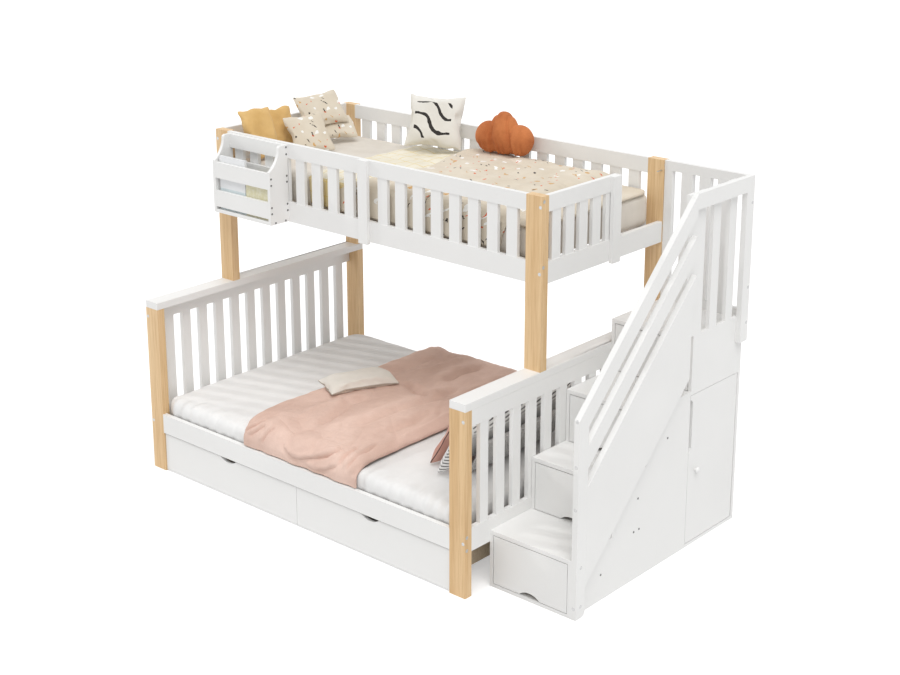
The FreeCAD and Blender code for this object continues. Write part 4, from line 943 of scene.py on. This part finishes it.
def cover(name, material, column, end_x, fullness, seed, across, sweep, behind):
    """A filled cover: up from behind the guard and over the mattress, thin at its rims and puffed inside.

    column picks its left edge, across is its count of faces along the bed, sweep carries the flap's hem
    further left, and behind sets the flap further in.
    """
    front, back = DUVET_EDGE[0][0], DUVET_EDGE[-1][0]
    shape = bmesh.new()
    bmesh.ops.create_grid(shape, x_segments=across, y_segments=110, size=0.5, calc_uvs=True)
    layer = shape.loops.layers.uv.verify()
    flat = {}
    for vert in shape.verts:
        u = vert.co.x + 0.5
        v = vert.co.y + 0.5
        over = max(0.0, v - FLAP_SHARE) / (1 - FLAP_SHARE)
        depth = front + over * (back - front)
        hanging = 1 - min(1.0, v / FLAP_SHARE)
        x0 = between(DUVET_EDGE, depth, column) - sweep * math.sqrt(hanging)
        into = 0.0
        if end_x > FULL_END:
            into = max(0.0, END_CORNER - (depth - front), END_CORNER - (back - depth))
        x1 = end_x - END_CORNER + math.sqrt(max(0.0, END_CORNER ** 2 - into ** 2))
        run = u * (x1 - x0)
        x = x0 + run
        spot = Vector((x / 1000, depth / 1000, seed))
        creases = 11.0 * noise.fractal(spot * 2.6, 0.8, 2.0, 4)
        creases += 4.0 * noise.fractal(spot * 9.0, 0.9, 2.0, 2)
        creases -= 9.0 * valley(x / 260, depth / 210, seed, 8)
        start = min(1.0, run / 70.0)
        end = min(1.0, max(0.0, min(end_x, FULL_END) - x) / 75.0)
        full = math.sqrt(max(0.0, 1 - (1 - start) ** 2)) * math.sqrt(max(0.0, 1 - (1 - end) ** 2))
        if column == FULL_COLUMN and x < FULL_END:
            full = max(full, 0.15)
        if hanging > 0:
            low = between(FLAP_BOTTOM, x, 1)
            wave = 3.2 * math.sin(x / 31 + 2.5 * noise.noise(Vector((x / 160, hanging, seed)))) * hanging
            y = FLAP_Y + wave + behind * hanging
            z = COVER_BASE - hanging * (COVER_BASE - low)
            flat[vert] = (run / 1000, (front - hanging * FLAP_LENGTH) / 1000)
        else:
            turn = min(1.0, over * (back - front) / COVER_BEND)
            y = FLAP_Y + (depth - FLAP_Y) * (1 - math.cos(turn * math.pi / 2))
            sides = min(1.0, (depth - front) / 150) ** 0.7 * max(0.0, 1 - over ** 40)
            puff = fullness * (0.25 + 0.75 * sides) * (0.08 + 0.92 * full)
            z = COVER_BASE + math.sin(turn * math.pi / 2) * (8 + puff + creases * sides * full)
            flat[vert] = (run / 1000, depth / 1000)
        if hanging > 0 and x > FLAP_BOTTOM[-1][0]:
            y = max(y, FLAP_BY_POST)
        vert.co = place(x, y, max(z, FLAP_LOWEST))
    for face in shape.faces:
        for loop in face.loops:
            loop[layer].uv = flat[loop.vert]
    return mesh_piece(name, shape, material)


def duvet():
    """The full part of the duvet, and beside it the lining where it is folded back."""
    chips = chip_print("chip_print_wide", 1.0, PRINT_START, PRINT_END)
    main = cover("duvet", chips, FULL_COLUMN, end_x=DUVET_END, fullness=62.0, seed=5.0, across=112,
                 sweep=130, behind=0)
    lining = cover("duvet_lining", checked_lining("checked_lining"), LINING_COLUMN, end_x=1190,
                   fullness=20.0, seed=9.0, across=66, sweep=0, behind=8)
    add_modifier(main, "SOLIDIFY", thickness=0.010, offset=-1.0, use_rim=True)
    add_modifier(lining, "SOLIDIFY", thickness=0.007, offset=-1.0, use_rim=True)
    for piece, fill in ((main, 0.5), (lining, 0.4)):
        finish_soft(piece, levels=0)
    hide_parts("duvet_upper")


def bedding():
    white = plain_cotton("white_cotton_sheet", (0.76, 0.757, 0.75), (0.81, 0.807, 0.80), uv=False).material
    beige = plain_cotton("beige_cotton_sheet", (0.66, 0.61, 0.54), (0.73, 0.68, 0.61), uv=False).material
    front_wrinkles = ((FRONT + 0.03, 0.13, 92.0, 0.0075), (FRONT + 0.10, 0.24, 37.0, 0.004))
    mattress("mattress_lower_sheeted", "mattress_lower", white, 0.045, 0.085, front_wrinkles)
    mattress("mattress_upper_sheeted", "mattress_upper", beige, 0.038, 0.05,
             ((0.0, 0.6, 11.0, 0.002),))
    blanket()
    duvet()
    throw_pillows()
    lobed_cushion()


# ---------------------------------------------------------------- floor, light and camera

FLOOR_HALF_SIZE = 30.0
FLOOR_GLOW = 0.42
WORLD_STRENGTH = 0.66
# Each sun: strength, spread in degrees, and the way to it
SUNS = (("overhead", 0.7, 40, (0.35, -0.25, 1.0)), ("camera_side", 0.95, 40, (0.52, -0.42, 0.85)),
        ("window", 0.60, 3, (-1.0, -0.30, 0.50)))


def studio():
    """A white floor and sky that look white to the camera and light the bed more softly."""
    floor_shape = bmesh.new()
    bmesh.ops.create_grid(floor_shape, x_segments=2, y_segments=2, size=FLOOR_HALF_SIZE)
    f = Finish("studio_floor", 0.9)
    light_path = f.add("ShaderNodeLightPath")
    glow = f.add("ShaderNodeEmission")
    glow.inputs["Color"].default_value = (1, 1, 1, 1)
    glow.inputs["Strength"].default_value = FLOOR_GLOW
    added = f.add("ShaderNodeAddShader")
    chosen = f.add("ShaderNodeMixShader")
    f.shader.inputs["Base Color"].default_value = (0.7, 0.7, 0.7, 1)
    f.link(f.shader.outputs["BSDF"], added.inputs[0])
    f.link(glow.outputs["Emission"], added.inputs[1])
    seen = f.maths("MAXIMUM", light_path.outputs["Is Camera Ray"], light_path.outputs["Is Glossy Ray"])
    f.link(seen, chosen.inputs[0])
    f.link(f.shader.outputs["BSDF"], chosen.inputs[1])
    f.link(added.outputs["Shader"], chosen.inputs[2])
    output = next(n for n in f.tree.nodes if n.type == "OUTPUT_MATERIAL")
    f.link(chosen.outputs["Shader"], output.inputs["Surface"])
    floor = mesh_piece("floor", floor_shape, f.material, smooth=False)

    world = bpy.data.worlds.new("studio")
    bpy.context.scene.world = world
    world.use_nodes = True
    tree = world.node_tree
    background = tree.nodes["Background"]
    path = tree.nodes.new("ShaderNodeLightPath")
    seen = tree.nodes.new("ShaderNodeMath")
    seen.operation = "MAXIMUM"
    tree.links.new(path.outputs["Is Camera Ray"], seen.inputs[0])
    tree.links.new(path.outputs["Is Glossy Ray"], seen.inputs[1])
    strength = tree.nodes.new("ShaderNodeMapRange")
    strength.inputs["To Min"].default_value = WORLD_STRENGTH
    strength.inputs["To Max"].default_value = 1.0
    tree.links.new(seen.outputs["Value"], strength.inputs["Value"])
    tree.links.new(strength.outputs["Result"], background.inputs["Strength"])
    background.inputs["Color"].default_value = (1, 1, 1, 1)

    for name, energy, spread, direction in SUNS:
        lamp = bpy.data.lights.new(name, "SUN")
        lamp.energy = energy
        lamp.angle = math.radians(spread)
        item = bpy.data.objects.new(name, lamp)
        item.rotation_euler = Vector(direction).to_track_quat("Z", "Y").to_euler()
        bpy.context.scene.collection.objects.link(item)


# Solved from the photograph: angles in degrees, place in metres, lens in mm for a sensor 36 mm wide
CAMERA_AZIMUTH = 41.297
CAMERA_ELEVATION = 16.018
CAMERA_PLACE = (4.83692, -5.36476, 3.37419)
CAMERA_LENS = 63.24
CAMERA_SHIFT = (-0.0050, -0.1083)


def camera():
    data = bpy.data.cameras.new("camera")
    data.sensor_width = 36
    data.lens = CAMERA_LENS
    data.shift_x, data.shift_y = CAMERA_SHIFT
    item = bpy.data.objects.new("camera", data)
    azimuth = math.radians(CAMERA_AZIMUTH)
    elevation = math.radians(CAMERA_ELEVATION)
    back = Vector((math.sin(azimuth) * math.cos(elevation), -math.cos(azimuth) * math.cos(elevation),
                   math.sin(elevation)))
    item.location = CAMERA_PLACE
    item.rotation_mode = "QUATERNION"
    item.rotation_quaternion = (-back).to_track_quat("-Z", "Y")
    bpy.context.scene.collection.objects.link(item)
    bpy.context.scene.camera = item


finish_wood_and_metal()
soften_edges()
bedding()
studio()
camera()
bpy.context.scene.view_settings.view_transform = "Standard"
